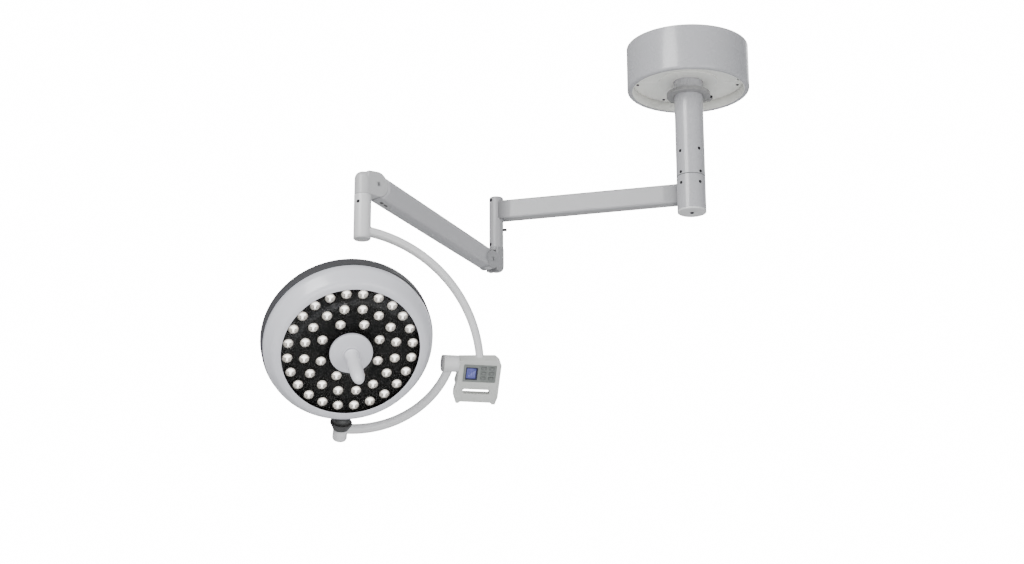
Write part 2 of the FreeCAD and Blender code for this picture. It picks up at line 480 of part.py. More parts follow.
# ---------------------------------------------------------------- yoke: sleeve, bow, axle, control box
b = new_body("yoke_sleeve", A3)
revolve(b, [("@sleeveRad - 5", "-@sleeveTop"), ("@sleeveRad", "-@sleeveTop"), ("@sleeveRad", "-@sleeveLow + 5"), ("@sleeveRad - 5", "-@sleeveLow + 5")])
b = new_body("sleeve_end_cap", A3)
revolve(b, [(0, "-@sleeveLow + 4.95"), ("@sleeveRad", "-@sleeveLow + 4.95"), ("@sleeveRad", "-@sleeveLow + 2"), ("@sleeveRad - 2", "-@sleeveLow"), (0, "-@sleeveLow")])
rb, ro = S("lampShaftRad") + S("runGap"), S("sleeveRad") - 5.05
feature("sleeve_bushes", Part.makeCompound([turned([(rb, z), (ro, z), (ro, z - 24), (rb, z - 24)]) for z in (-S("sleeveTop") - 2, -660)]), A3)
set_screws("sleeve_set_screw", S("sleeveRad"), [(232, -603)], A3)
bx, bz, br = -S("bowBack"), -S("bowLow"), S("bowRad")
path, rad = [], []
for k in range(17):
    a = math.radians(80.4 + (3.0 - 80.4) * k / 16)
    path.append(V(bx + br * math.cos(a), 0, bz + br * math.sin(a)))
    rad.append(S("bowTubeA") + (S("bowTubeB") - S("bowTubeA")) * k / 16)
bow = swept_tube(path, rad, 2.2)
bow = bow.cut(Part.makeCylinder(S("sleeveRad") + 0.02, 200, V(0, 0, -800)))
boxcut = Part.makeBox(200, 100, 200, V(S("boxNear"), -50, S("boxUp") + 0.02 - 200))
boxcut.Placement = A3.inverse().multiply(FB)
bow = bow.cut(boxcut)
bow = max(bow.Solids, key=lambda k: k.Volume)
feature("yoke_bow", bow, A3)
x0, x1 = S("boxNear"), S("boxNear") + S("boxWide")
up, dn, hd = S("boxUp"), -S("boxDown"), S("boxDeep") / 2
outline = [(x0, up), (x1 - 12, up), (x1, up - 12), (x1, dn + 24), (x1 - 6, dn), (x1 - 16, dn), (x1 - 20, dn + 5), (x0 + 14, dn + 5), (x0 + 10, dn), (x0 + 2, dn),
           (x0 - 6, dn + 20), (x0 - 7, -80), (x0, -40)]
slot = [(x0 + 14, -78), (x0 + 22, -70), (x1 - 26, -70), (x1 - 26, -85), (x0 + 22, -85)]


def prism(pts, y0, y1):
    f = Part.Face(Part.makePolygon([V(x, y0, z) for x, z in pts + pts[:1]]))
    return f.extrude(V(0, y1 - y0, 0))


cav = [(x0 + 3, up - 3), (x1 - 13.3, up - 3), (x1 - 3, up - 13.3), (x1 - 3, -64), (x0 + 3, -64)]
front = prism(outline, -hd, -0.05).cut(prism(slot, -hd - 1, 1)).cut(prism(cav, -hd + 3, 1))
rear = prism(outline, 0.05, hd).cut(prism(slot, -1, hd + 1)).cut(prism(cav, -1, hd - 3))
edge = [e for e in front.Edges if abs(e.CenterOfMass.y + hd) < 0.01]
win = (x0 + 14, x1 - 13, -47.0, 9.0)
front = front.cut(Part.makeBox(win[1] - win[0], 1.6, win[3] - win[2], V(win[0], -hd, win[2])))
try:
    rim = [e for e in rear.Edges if abs(e.CenterOfMass.y - hd) < 0.01]
    rear = rear.makeChamfer(2.5, rim)
    rim = [e for e in front.Edges if abs(e.BoundBox.YMin + hd) < 0.01 and abs(e.BoundBox.YMax + hd) < 0.01 and not (win[0] - 1 < e.CenterOfMass.x < win[1] + 1 and win[2] - 1 < e.CenterOfMass.z < win[3] + 1)]
    front = front.makeChamfer(1.5, rim)
except Exception as err:
    print("box edges left sharp:", err)
bore = cyl(S("axleRad") + 0.02, x0 - 5, x0 + 12, (0, 0, 0), (1, 0, 0))
front, rear = front.cut(bore), rear.cut(bore)
panel = Part.makeBox(win[1] - win[0] - 0.2, 1.5, win[3] - win[2] - 0.2, V(win[0] + 0.1, -hd + 0.1, win[2] + 0.1))
keys = [(x0 + 74 + 23.5 * i, -3.0 - 15.5 * j) for i in (0, 1) for j in (0, 1, 2)]
bw, bh = S("buttonWide") / 2, S("buttonHigh") / 2
for kxx, kzz in keys:
    hole = Part.makeBox(2 * bw + 0.6, 6, 2 * bh + 0.6, V(kxx - bw - 0.3, -hd - 1, kzz - bh - 0.3))
    front, panel = front.cut(hole), panel.cut(hole)
feature("box_front_cover", front, FB)
feature("box_rear_cover", rear, FB)
feature("display_panel", panel, FB)
feature("display_glass", Part.makeBox(30, 0.8, 34, V(x0 + 24, -hd - 0.75, -38)), FB)
feature("control_board", Part.makeBox(90, 1.6, 68, V(x0 + 14, -hd + 9.4, -60)), FB)
scr = slotted_screw(3.0, 1.6, 1.4, 3)
group = []
for xx, zz in ((x0 + 9, up - 9), (x1 - 24, up - 9), (x1 - 9, -60), (x0 + 9, -60)):
    q = scr.copy()
    q.Placement = Placement(V(xx, hd + 0.05, zz), Rotation(V(1, 0, 0), -90))
    group.append(Part.makeCylinder(3.0, 1.5, V(xx, hd + 0.05, zz), V(0, 1, 0)))
feature("box_screws", Part.makeCompound(group), FB)
b = new_body("tilt_axle", FX.multiply(Placement(V(0, 0, 0), Rotation(V(0, 1, 0), 90))))
revolve(b, [(5, "@drumNear + 6"), ("@axleRad", "@drumNear + 6"), ("@axleRad", "@drumFar + 0.4"), ("@drumRad - 0.5", "@drumFar + 0.4"),
            ("@drumRad - 0.5", "@boxNear - 0.05"), ("@axleRad", "@boxNear - 0.05"), ("@axleRad", "@boxNear + 11"), (5, "@boxNear + 11")])
for i, (kxx, kzz) in enumerate(keys):
    cap = Part.makeBox(2 * bw, 4.5, 2 * bh, V(kxx - bw, -hd - 1.3, kzz - bh))
    cap = cap.makeFillet(1.0, [e for e in cap.Edges if abs(e.CenterOfMass.y + hd + 1.3) < 0.01])
    feature("key_%d" % (i + 1), cap, FB)
# ---------------------------------------------------------------- cross arm
b = new_body("tilt_drum", FX.multiply(Placement(V(0, 0, 0), Rotation(V(0, 1, 0), 90))))
revolve(b, [("@axleRad + @runGap", "@drumNear + 6.05"), ("@drumRad", "@drumNear + 6.05"), ("@drumRad", "@drumFar"), ("@axleRad + @runGap", "@drumFar")])
b = new_body("drum_end_cap", FX.multiply(Placement(V(0, 0, 0), Rotation(V(0, 1, 0), 90))))
revolve(b, [(0, "@drumNear"), ("@drumRad - 3", "@drumNear"), ("@drumRad", "@drumNear + 2"), ("@drumRad", "@drumNear + 6"), ("@axleRad + 3", "@drumNear + 6"),
            ("@axleRad + 3", "@drumNear + 5"), (0, "@drumNear + 5")])
path, rad = [], []
ax = S("headAxisX")
for k in range(15):
    a = math.radians(-12.5 + (-91.6 + 12.5) * k / 14)
    path.append(V(S("crossMidX") + S("crossRad") * math.cos(a), 0, S("crossMidZ") + S("crossRad") * math.sin(a)))
    rad.append(S("crossTubeA") + (S("crossTubeB") - S("crossTubeA")) * k / 14)
arm = swept_tube(path, rad)
arm = arm.cut(Part.makeCylinder(S("drumRad") + 0.02, 200, V(150, 0, 0), V(1, 0, 0)))
cone = turned([(S("headPinRad") + 0.05, -S("coneTop")), (S("coneRadTop"), -S("coneTop")), (S("coneRadTop"), -S("coneTop") - 4),
               (S("coneRadLow"), -S("socketTop") + 0.05), (S("headPinRad") + 0.05, -S("socketTop") + 0.05)])
cone.translate(V(ax, 0, 0))
fat = turned([(0, -S("coneTop") + 20), (S("coneRadTop") + 0.3, -S("coneTop") + 20), (S("coneRadTop") + 0.3, -S("coneTop") - 4), (S("coneRadLow") + 0.3, -S("socketTop")), (0, -S("socketTop"))])
fat.translate(V(ax, 0, 0))
sock = turned([(0, -S("socketTop")), (S("socketRad"), -S("socketTop")), (S("socketRad"), -S("socketLow") + 8), (S("socketRad") - 2.5, -S("socketLow") + 2.5),
               (S("socketRad") - 8, -S("socketLow")), (0, -S("socketLow"))])
sock.translate(V(ax, 0, 0))
half = Part.makeBox(600, 200, 600, V(ax, -100, -500))
arm = arm.common(half).cut(fat).fuse(sock).removeSplitter()
arm = arm.cut(cyl(S("headPinRad") + 0.05, -S("socketLow") + 5, -S("coneTop"), (ax, 0, 0), (0, 0, 1)))
arm = max(arm.Solids, key=lambda k: k.Volume)
feature("cross_arm_tube", arm, FX)
feature("pivot_cone", cone, FX)
# ---------------------------------------------------------------- lamp head (+Z towards the patient)
FACE = [("@headRad - 3.5", -46), ("@headRad - 5.2", -38), ("@headRad - 10.5", -28), ("@headRad - 17", -16.5), ("@headRad - 22.5", -7), ("@headRad - 29", -0.5), ("@headRad - 37", 3), ("@windowRad + 3", 4.4)]
b = new_body("head_front_shell", FH)
revolve(b, [("@headRad - 3.5", -60)] + FACE + [("@windowRad", 3.6), ("@windowRad", 1.7), ("@windowRad + 5", 1.7), ("@windowRad + 5", -1.5),
            ("@headRad - 38", -2.4), ("@headRad - 31", -5), ("@headRad - 25.2", -10), ("@headRad - 20", -18.5), ("@headRad - 13.7", -29.5), ("@headRad - 8.4", -39.5), ("@headRad - 6.7", -47), ("@headRad - 6.7", -60)])
pocket(b, "XZ_Plane", "@headRad + 30", circles=[(4.686, -53.806, "@headPinRad + 0.05")], rev=True)
b = new_body("head_rear_cover", FH)
revolve(b, [("@headRad - 1.2", -60.1), ("@headRad", -61.2), ("@headRad", -92), ("@headRad - 1.8", -98), ("@headRad - 7.5", -104), ("@headRad - 23", -109.5), (150, -115), (60, -118), (0, -119),
            (0, -116), (60, -115), (150, -112), ("@headRad - 24", -106.5), ("@headRad - 10", -101.5), ("@headRad - 4.7", -96.5), ("@headRad - 3.2", -91), ("@headRad - 3.2", -60.1)])
pocket(b, "XZ_Plane", "@headRad + 30", circles=[(4.686, -53.806, "@headPinRad + 0.05")], rev=True)
b = new_body("led_panel", FH)
revolve(b, [("@hubDiscRad - 14", -12), ("@windowRad + 4", -12), ("@windowRad + 4", -9.5), ("@hubDiscRad - 14", -9.5)])
b = new_body("led_board", FH)
revolve(b, [("@hubDiscRad - 14", -14), ("@windowRad - 3", -14), ("@windowRad - 3", -12.05), ("@hubDiscRad - 14", -12.05)])
b = new_body("heat_sink", FH)
revolve(b, [("@hubDiscRad - 30", -24), ("@windowRad - 10", -24), ("@windowRad - 10", -14.05), ("@hubDiscRad - 30", -14.05)])
f = pad(b, "XY_Plane", 22, loops=[[(60, -1.2), (180, -1.2), (180, 1.2), (60, 1.2)]], offset=-45)
polar(b, f, 24)
b = new_body("front_window", FH)
revolve(b, [(20, -0.6), ("@windowRad + 3.8", -0.6), ("@windowRad + 3.8", 1.5), (20, 1.5)])
lens = turned([(0, -9.45), (S("lensRad"), -9.45), (S("lensRad"), -7.6), (S("lensRad") * 0.94, -5.6), (S("lensRad") * 0.8, -3.8), (S("lensRad") * 0.55, -2.4), (0, -1.6)])
for name, r, cnt in (("lenses_outer", "ledRadOut", 24), ("lenses_middle", "ledRadMid", 16), ("lenses_inner", "ledRadIn", 8)):
    group = []
    for i in range(cnt):
        a = math.pi / 2 + math.pi / cnt - 2 * math.pi * i / cnt + math.radians(1.4)
        q = lens.copy()
        q.translate(V(S(r) * math.cos(a), S(r) * math.sin(a), 0))
        group.append(q)
    feature(name, Part.makeCompound(group), FH)
b = new_body("head_hub_disc", FH)
revolve(b, [(14.6, 1.6), ("@hubDiscRad", 1.6), ("@hubDiscRad", 12), ("@hubDiscRad - 2", 14.5), ("@hubDiscRad - 12", 17.5), ("@hubDiscRad - 30", 19.5), (22, 20), (14.6, 20)])
env = turned([(0, -110), (S("headRad") + 0.05, -110), (S("headRad") + 0.05, -60.0), (S("headRad") - 3.45, -60.0), (S("headRad") - 3.45, -46), (S("headRad") - 5.1, -37.9), (S("headRad") - 10.3, -27.8),
              (S("headRad") - 16.8, -16.3), (S("headRad") - 22.3, -6.8), (0, -6.8)])
boss = cyl(27, 190, 259.6, (4.686, 0, -53.806), (0, -1, 0)).cut(env)
boss = boss.cut(cyl(S("headPinRad") + 0.02, 150, 300, (4.686, 0, -53.806), (0, -1, 0)))
boss = max(boss.Solids, key=lambda k: k.Volume)
feature("pivot_boss", boss, FH)
pin = cyl(S("headPinRad"), 200, 313.5, (4.686, 0, -53.806), (0, -1, 0)).fuse(Part.makeBox(60, 8, 40, V(4.686 - 30, -208, -82)))
feature("head_pivot_pin", pin.removeSplitter(), FH)
b = new_body("handle_core", FH)
revolve(b, [(0, -9), (14, -9), (14, 21), (9, 21), (9, 157), (0, 157)])
b = new_body("sterile_handle", FH)
revolve(b, [(9.05, 21.2), (21, 21.2), (21, 24), (18.5, 27), (18.5, 61), (19.2, 67), ("@gripRad", 73), ("@gripRad + 0.5", 107), ("@gripRad - 1", 143), ("@gripRad - 3.5", 159),
            ("@gripRad - 8", 170), ("@gripRad - 13", 175), (0, 176), (0, 157.2), (9.05, 157.2)])


# ---------------------------------------------------------------- groups of small parts, and parts joined for good
def take(names):
    found = [o for n in names for k, o in PARTS if k == n]
    PARTS[:] = [(k, o) for k, o in PARTS if k not in names]
    return found


def gather(name, names):
    """Loose parts of one kind kept as separate solids in one node."""
    c = doc.addObject("Part::Compound", name)
    c.Links = take(names)
    c.Label = name
    PARTS.append((name, c))


def join(name, names):
    """Parts pressed together and never taken apart: one solid."""
    c = doc.addObject("Part::MultiFuse", name)
    c.Shapes = take(names)
    c.Refine = True
    c.Label = name
    PARTS.append((name, c))


gather("underside_plates", ["underside_plate_left", "underside_plate_right"])
gather("ceiling_screws", ["underside_screws", "collar_pinch_screw", "tube_set_screws"])
gather("hub_screws", ["hub_cap_screw", "hub_set_screws"])
gather("arm_bushes", ["hub_bushes", "post_bushes"])
gather("arm_end_caps", ["hub_end_cap", "post_cap"])
gather("arm_pivot_pins", ["elbow_pivot_pin", "knuckle_pivot_pin"])
gather("spring_guide", ["spring_guide_rod", "spring_seats"])
gather("yoke_screws", ["sleeve_set_screw", "box_screws"])
gather("led_lenses", ["lenses_outer", "lenses_middle", "lenses_inner"])
join("elbow_casting", ["elbow_housing", "elbow_spindle", "elbow_level_pin"])
join("knuckle_casting", ["knuckle_housing", "knuckle_level_pin"])

# ---------------------------------------------------------------- check and write
doc.recompute()
for o in doc.Objects:
    if any(s in ("Invalid", "Error") for s in o.State):
        raise RuntimeError("object in error: %s %s" % (o.Name, o.State))
os.makedirs("parts", exist_ok=True)
for name, o in PARTS:
    sh = o.Shape
    if sh.isNull() or not sh.isValid() or not sh.Solids:
        raise RuntimeError("bad shape: " + name)
    if o.TypeId == "PartDesign::Body" and sh.Volume < 1:
        raise RuntimeError("empty body: " + name)
    sh.exportStep("parts/%s.step" % name)
    print("%-24s solids %2d  volume %12.1f" % (name, len(sh.Solids), sh.Volume))
print(len(PARTS), "nodes")
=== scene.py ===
"""Ceiling-mounted examination lamp: canopy and drop tube, extension arm, spring arm, yoke
with a control box, and a round LED head with a handle at its centre.

Shapes are drawn in millimetres in the frames of the CAD joints and scaled to metres.
The ceiling frame has its origin on the drop tube's axis, with +Z up, so nearly all heights
are negative. The arms run along their own +X. The head's +Z is the way its light points.
"""
import json
import math

import bmesh
import bpy
from mathutils import Matrix, Vector


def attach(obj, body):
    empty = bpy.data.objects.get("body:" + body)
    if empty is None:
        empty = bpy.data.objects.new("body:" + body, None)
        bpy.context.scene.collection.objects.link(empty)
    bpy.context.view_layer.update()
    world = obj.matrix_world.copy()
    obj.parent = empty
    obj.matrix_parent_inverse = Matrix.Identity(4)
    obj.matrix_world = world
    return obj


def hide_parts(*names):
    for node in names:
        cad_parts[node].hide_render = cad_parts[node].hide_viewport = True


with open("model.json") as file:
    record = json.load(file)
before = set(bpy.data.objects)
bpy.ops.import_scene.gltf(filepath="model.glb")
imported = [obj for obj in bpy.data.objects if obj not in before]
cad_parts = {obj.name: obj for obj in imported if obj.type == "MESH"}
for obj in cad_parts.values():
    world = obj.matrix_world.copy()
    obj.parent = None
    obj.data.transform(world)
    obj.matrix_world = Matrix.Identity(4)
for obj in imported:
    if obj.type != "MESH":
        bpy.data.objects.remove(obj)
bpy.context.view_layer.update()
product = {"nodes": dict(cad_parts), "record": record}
NODES = product["nodes"]
MM = 0.001                  # metres in a millimetre
CAD_WELD = 0.00002          # metres, merge distance for the CAD meshes


# ------------------------------------------------------------------ shader helpers
def fill(tree, node, inputs):
    """Link each input that is given a socket and set each that is given a value."""
    for key, value in inputs.items():
        if isinstance(value, bpy.types.NodeSocket):
            tree.links.new(value, node.inputs[key])
        else:
            node.inputs[key].default_value = value


def add_node(tree, kind, inputs=None, **settings):
    node = tree.nodes.new("ShaderNode" + kind)
    for key, value in settings.items():
        setattr(node, key, value)
    fill(tree, node, inputs or {})
    return node


def new_material(name):
    """A material with its node tree, Principled shader and object coordinates."""
    material = bpy.data.materials.new(name)
    material.use_nodes = True
    tree = material.node_tree
    return material, tree, tree.nodes["Principled BSDF"]


def object_coords(tree, scale=(1, 1, 1)):
    source = add_node(tree, "TexCoord").outputs["Object"]
    return add_node(tree, "Mapping", {"Scale": scale, "Vector": source}).outputs["Vector"]


def noise(tree, coords, scale, detail=3.0, rough=0.55):
    inputs = {"Scale": scale, "Detail": detail, "Roughness": rough, "Vector": coords}
    return add_node(tree, "TexNoise", inputs).outputs["Fac"]


def shade(color, factor, lift=0.0):
    return tuple(min(1, channel * factor + lift) for channel in color)


def two_tone(tree, factor, stops, dark, light):
    """Blend from dark to light between two stops of the factor."""
    node = add_node(tree, "ValToRGB", {"Fac": factor})
    for element, stop, color in zip(node.color_ramp.elements, stops, (dark, light)):
        element.position = stop
        element.color = (*color, 1)
    return node.outputs["Color"]


def vary_roughness(tree, shader, factor, low, high):
    spread = add_node(tree, "MapRange", {"To Min": low, "To Max": high, "Value": factor})
    fill(tree, shader, {"Roughness": spread.outputs["Result"]})


def add_bump(tree, shader, height, strength, distance):
    inputs = {"Strength": strength, "Distance": distance, "Height": height}
    fill(tree, shader, {"Normal": add_node(tree, "Bump", inputs).outputs["Normal"]})


def edge_wear(tree, base, worn, amount):
    """Lighter colour along convex edges, from the surface's pointiness."""
    point = add_node(tree, "NewGeometry").outputs["Pointiness"]
    mask = add_node(tree, "MapRange",
                    {"From Min": 0.53, "From Max": 0.62, "To Max": amount, "Value": point})
    # inputs 0, 6 and 7 are the factor and the two colours
    mix = add_node(tree, "Mix", {0: mask.outputs["Result"], 6: base, 7: (*worn, 1)},
                   data_type="RGBA")
    return mix.outputs[2]


# ------------------------------------------------------------------ kinds of material
def paint(name, color, rough, drift, peel, coat, peel_scale=900, wear=0.35, specular=0.5):
    """Sprayed paint: orange peel, slow colour drift, lighter edges and a clear coat."""
    material, tree, shader = new_material(name)
    coords = object_coords(tree)
    slow = noise(tree, coords, scale=6, detail=2)
    base = two_tone(tree, slow, (0.25, 0.75), shade(color, 1 - drift), shade(color, 1 + drift))
    base = edge_wear(tree, base, shade(color, 1.12, lift=0.02), wear)
    fine = noise(tree, coords, scale=peel_scale, detail=2)
    smudge = noise(tree, coords, scale=22, detail=5, rough=0.65)
    vary_roughness(tree, shader, smudge, low=rough * 0.85, high=rough * 1.25)
    add_bump(tree, shader, fine, strength=peel, distance=0.0004)
    fill(tree, shader, {"Base Color": base, "Coat Weight": coat, "Coat Roughness": 0.12,
                        "Specular IOR Level": specular})
    return material


def plastic(name, color, rough, grain, grain_scale=1400, drift=0.03, specular=0.5):
    """Moulded plastic: a cellular grain and a slight mottling."""
    material, tree, shader = new_material(name)
    coords = object_coords(tree)
    slow = noise(tree, coords, scale=14)
    base = two_tone(tree, slow, (0.3, 0.7), shade(color, 1 - drift), shade(color, 1 + drift))
    base = edge_wear(tree, base, shade(color, 1.25, lift=0.02), amount=0.3)
    cells = add_node(tree, "TexVoronoi", {"Scale": grain_scale, "Vector": coords})
    add_bump(tree, shader, cells.outputs["Distance"], strength=grain, distance=0.0003)
    gloss = noise(tree, coords, scale=40, detail=4)
    vary_roughness(tree, shader, gloss, low=rough * 0.85, high=rough * 1.2)
    fill(tree, shader, {"Base Color": base, "Specular IOR Level": specular})
    return material


def metal(name, color, rough):
    """Turned or brushed metal, streaked by squeezing the noise along Z."""
    material, tree, shader = new_material(name)
    coords = object_coords(tree, scale=(1, 1, 60))
    streaks = noise(tree, coords, scale=90, detail=6, rough=0.7)
    base = two_tone(tree, streaks, (0.3, 0.7), shade(color, 0.85), shade(color, 1.1))
    vary_roughness(tree, shader, streaks, low=rough * 0.7, high=rough * 1.4)
    add_bump(tree, shader, streaks, strength=0.08, distance=0.0002)
    fill(tree, shader, {"Base Color": base, "Metallic": 1.0, "Anisotropic": 0.4})
    return material


def clear_lens(name):
    material, tree, shader = new_material(name)
    cloud = noise(tree, object_coords(tree), scale=60)
    base = two_tone(tree, cloud, (0.2, 0.8), (0.98, 0.98, 0.98), (1, 1, 1))
    vary_roughness(tree, shader, cloud, low=0.015, high=0.048)
    fill(tree, shader, {"Base Color": base, "Transmission Weight": 1.0, "IOR": 1.49})
    return material


def clear_sheet(name, reflection):
    """Thin clear sheet: see-through, its faint reflection stronger at grazing angles."""
    material, tree, shader = new_material(name)
    tree.nodes.remove(shader)
    through = add_node(tree, "BsdfTransparent")
    cloud = noise(tree, object_coords(tree), scale=8, detail=2)
    tint = two_tone(tree, cloud, (0.2, 0.8), (0.96, 0.96, 0.965), (0.985, 0.985, 0.985))
    fill(tree, through, {"Color": tint})
    mirror = add_node(tree, "BsdfGlossy", {"Roughness": 0.04})
    fresnel = add_node(tree, "Fresnel", {"IOR": 1.3})
    mix = add_node(tree, "MixShader")
    share = add_node(tree, "Math", {0: fresnel.outputs["Fac"], 1: reflection},
                     operation="MULTIPLY")
    fill(tree, mix, {0: share.outputs["Value"], 1: through.outputs["BSDF"],
                     2: mirror.outputs["BSDF"]})
    fill(tree, tree.nodes["Material Output"], {"Surface": mix.outputs["Shader"]})
    return material


def reflector_painted_glow(name):
    material, tree, shader = new_material(name)
    cloud = noise(tree, object_coords(tree), scale=300)
    base = two_tone(tree, cloud, (0.3, 0.7), (0.42, 0.41, 0.38), (0.60, 0.58, 0.55))
    # metallised cup; its warm emission is a painted glow
    fill(tree, shader, {"Base Color": base, "Metallic": 1.0,
                        "Emission Color": (1.0, 0.93, 0.80, 1), "Emission Strength": 0.26})
    vary_roughness(tree, shader, cloud, low=0.15, high=0.35)
    return material


def painted_light_facet(name, color, strength):
    """Painted light: a glowing facet standing in for the light seen in an LED lens.
    Bright to the camera but almost dark to diffuse and glossy rays.
    """
    indirect_cut = 0.97
    material, tree, shader = new_material(name)
    coords = object_coords(tree)
    base = two_tone(tree, noise(tree, coords, scale=900, detail=2), (0.3, 0.7),
                    shade(color, 0.82), color)
    ray = add_node(tree, "LightPath").outputs
    indirect = add_node(tree, "Math", {0: ray["Is Diffuse Ray"], 1: ray["Is Glossy Ray"]},
                        operation="MAXIMUM")
    glow = add_node(tree, "Math", {0: indirect.outputs[0], 1: -indirect_cut * strength,
                                   2: strength}, operation="MULTIPLY_ADD")
    fill(tree, shader, {"Base Color": base, "Emission Color": base,
                        "Emission Strength": glow.outputs[0]})
    vary_roughness(tree, shader, noise(tree, coords, scale=300, detail=2), low=0.3, high=0.5)
    return material


def display(name, dark, light, tone_noise, gloss_noise, rough, glow=None):
    """Display surface. Each noise is (scale, detail), rough is (low, high)."""
    material, tree, shader = new_material(name)
    coords = object_coords(tree)
    base = two_tone(tree, noise(tree, coords, *tone_noise), (0.3, 0.7), dark, light)
    fill(tree, shader, {"Base Color": base})
    if glow:
        fill(tree, shader, {"Emission Color": base, "Emission Strength": glow})
    vary_roughness(tree, shader, noise(tree, coords, *gloss_noise), *rough)
    return material


MATERIALS = {
    "canopy_paint": paint("canopy_gloss_paint", (0.475, 0.475, 0.495),
                          rough=0.26, drift=0.015, peel=0.05, coat=0.35),
    "arm_paint": paint("arm_satin_paint", (0.385, 0.385, 0.395),
                       rough=0.38, drift=0.02, peel=0.12, coat=0.2),
    # painted light and shade: a copy of the arm paint with its own brightness for the spring arm
    "spring_arm_painted_shading": paint("spring_arm_satin_painted_shading", (0.43, 0.43, 0.445),
                              rough=0.40, drift=0.02, peel=0.12, coat=0.2),
    # painted shade: a darker copy of the spring arm paint for the elbow
    "elbow_painted_shade": paint("elbow_satin_painted_shade", (0.33, 0.33, 0.34),
                         rough=0.40, drift=0.02, peel=0.12, coat=0.15),
    # painted shade: a darker copy of the sleeve paint, to shade the knuckle's sides
    "knuckle_paint": paint("knuckle_satin_painted_shade", (0.555, 0.555, 0.56),
                           rough=0.36, drift=0.02, peel=0.10, coat=0.2),
    "sleeve_paint": paint("sleeve_satin_paint", (0.72, 0.72, 0.722),
                          rough=0.34, drift=0.02, peel=0.10, coat=0.25),
    "ivory_plastic": plastic("underside_ivory_plastic", (0.93, 0.93, 0.885),
                             rough=0.45, grain=0.12),
    "white_shell": paint("head_white_shell", (0.72, 0.72, 0.765),
                         rough=0.30, drift=0.012, peel=0.04, coat=0.5),
    "rear_shell": paint("head_dark_shell", (0.068, 0.068, 0.072), rough=0.5, drift=0.03,
                        peel=0.02, coat=0.05, peel_scale=400, wear=0.0, specular=0.12),
    "dark_plastic": plastic("dark_grained_plastic", (0.045, 0.045, 0.045),
                            rough=0.5, grain=0.3),
    "panel_black": plastic("panel_black_sheet", (0.010, 0.0095, 0.009),
                           rough=0.8, grain=0.02, grain_scale=900, specular=0.12),
    "steel": metal("machined_steel", (0.56, 0.56, 0.57), rough=0.3),
    "zinc": metal("bright_zinc", (0.70, 0.70, 0.69), rough=0.22),
    "screw_black": metal("black_oxide_screw", (0.045, 0.045, 0.048), rough=0.35),
    "bronze": metal("sintered_bronze", (0.50, 0.33, 0.15), rough=0.4),
    "alu": metal("extruded_aluminium", (0.62, 0.62, 0.63), rough=0.35),
    "board": plastic("solder_mask", (0.02, 0.12, 0.05), rough=0.35, grain=0.1),
    "box_plastic": plastic("control_box_plastic", (0.58, 0.59, 0.565), rough=0.42, grain=0.15),
    "collar_plastic": plastic("collar_grey_plastic", (0.30, 0.30, 0.30), rough=0.45, grain=0.2),
    "display_grey": plastic("display_panel_grey", (0.20, 0.215, 0.205), rough=0.35, grain=0.08),
    "key_rubber": plastic("key_silicone", (0.135, 0.145, 0.14),
                          rough=0.6, grain=0.3, grain_scale=2500),
    "handle_white": paint("handle_white_polymer", (0.86, 0.86, 0.90),
                          rough=0.36, drift=0.015, peel=0.06, coat=0.3),
    "lens": clear_lens("lens_clear"),
    "window": clear_sheet("window_clear", reflection=0.05),
    # metallised reflector cups with a painted glow
    "reflector": reflector_painted_glow("reflector_metallised_painted_glow"),
    # painted light: glowing facets standing in for the light seen in the LED lenses
    "painted_light_bright": painted_light_facet("led_painted_light_bright_facet", (1.0, 0.965, 0.90), strength=4.0),
    "painted_light_soft": painted_light_facet("led_painted_light_soft_facet", (1.0, 0.95, 0.87), strength=1.25),
    "painted_light_edge": painted_light_facet("led_painted_light_edge_facet", (0.80, 0.745, 0.66), strength=0.34),
    "led_dome": clear_sheet("led_dome_clear", reflection=0.5),
    # dark LCD border, with painted shadow in its wider right and bottom bands
    "lcd_frame_and_painted_shadow": display("lcd_navy_frame_and_painted_shadow", (0.006, 0.006, 0.028), (0.011, 0.011, 0.045),
                         tone_noise=(200, 2), gloss_noise=(60, 3), rough=(0.12, 0.24)),
    "lcd_screen": display("lcd_blue", (0.065, 0.07, 0.25), (0.095, 0.10, 0.32),
                          tone_noise=(60, 3), gloss_noise=(90, 2), rough=(0.2, 0.35),
                          glow=0.35),
    "lcd_bars": display("lcd_pale_segments", (0.14, 0.15, 0.40), (0.19, 0.20, 0.48),
                        tone_noise=(80, 2), gloss_noise=(90, 2), rough=(0.25, 0.4), glow=0.4),
}


def use_material(obj, material):
    obj.data.materials.clear()
    obj.data.materials.append(material)


def smooth_by_angle(obj, degrees):
    bpy.context.view_layer.objects.active = obj
    obj.select_set(True)
    bpy.ops.object.shade_auto_smooth(angle=math.radians(degrees))
    obj.select_set(False)


def dress_cad():
    """Give every CAD piece its material, a weld and smooth shading."""
    # the elbow casting, spring arm shell and cover take the copy of the arm paint with painted
    # shading
    own_looks = {"elbow_casting": "spring_arm_painted_shading", "spring_arm_shell": "spring_arm_painted_shading",
                 "spring_arm_cover": "spring_arm_painted_shading", "split_collar": "collar_plastic"}
    # a slot is named after its material, apart from this one
    slot_looks = {"lcd": "display_grey"}
    slots = {part["node"]: part["material_slot"] for part in product["record"]["subparts"]}
    for obj in bpy.context.selected_objects:
        obj.select_set(False)
    for name, obj in NODES.items():
        slot = slots[name]
        use_material(obj, MATERIALS[own_looks.get(name, slot_looks.get(slot, slot))])
        for polygon in obj.data.polygons:
            polygon.use_smooth = True
        obj.modifiers.new("weld", "WELD").merge_threshold = CAD_WELD
        smooth_by_angle(obj, 32)


# ------------------------------------------------------------------ frames (millimetres)
def turn_x(degrees):
    return Matrix.Rotation(math.radians(degrees), 4, "X")


def turn_y(degrees):
    return Matrix.Rotation(math.radians(degrees), 4, "Y")


def turn_z(degrees):
    return Matrix.Rotation(math.radians(degrees), 4, "Z")


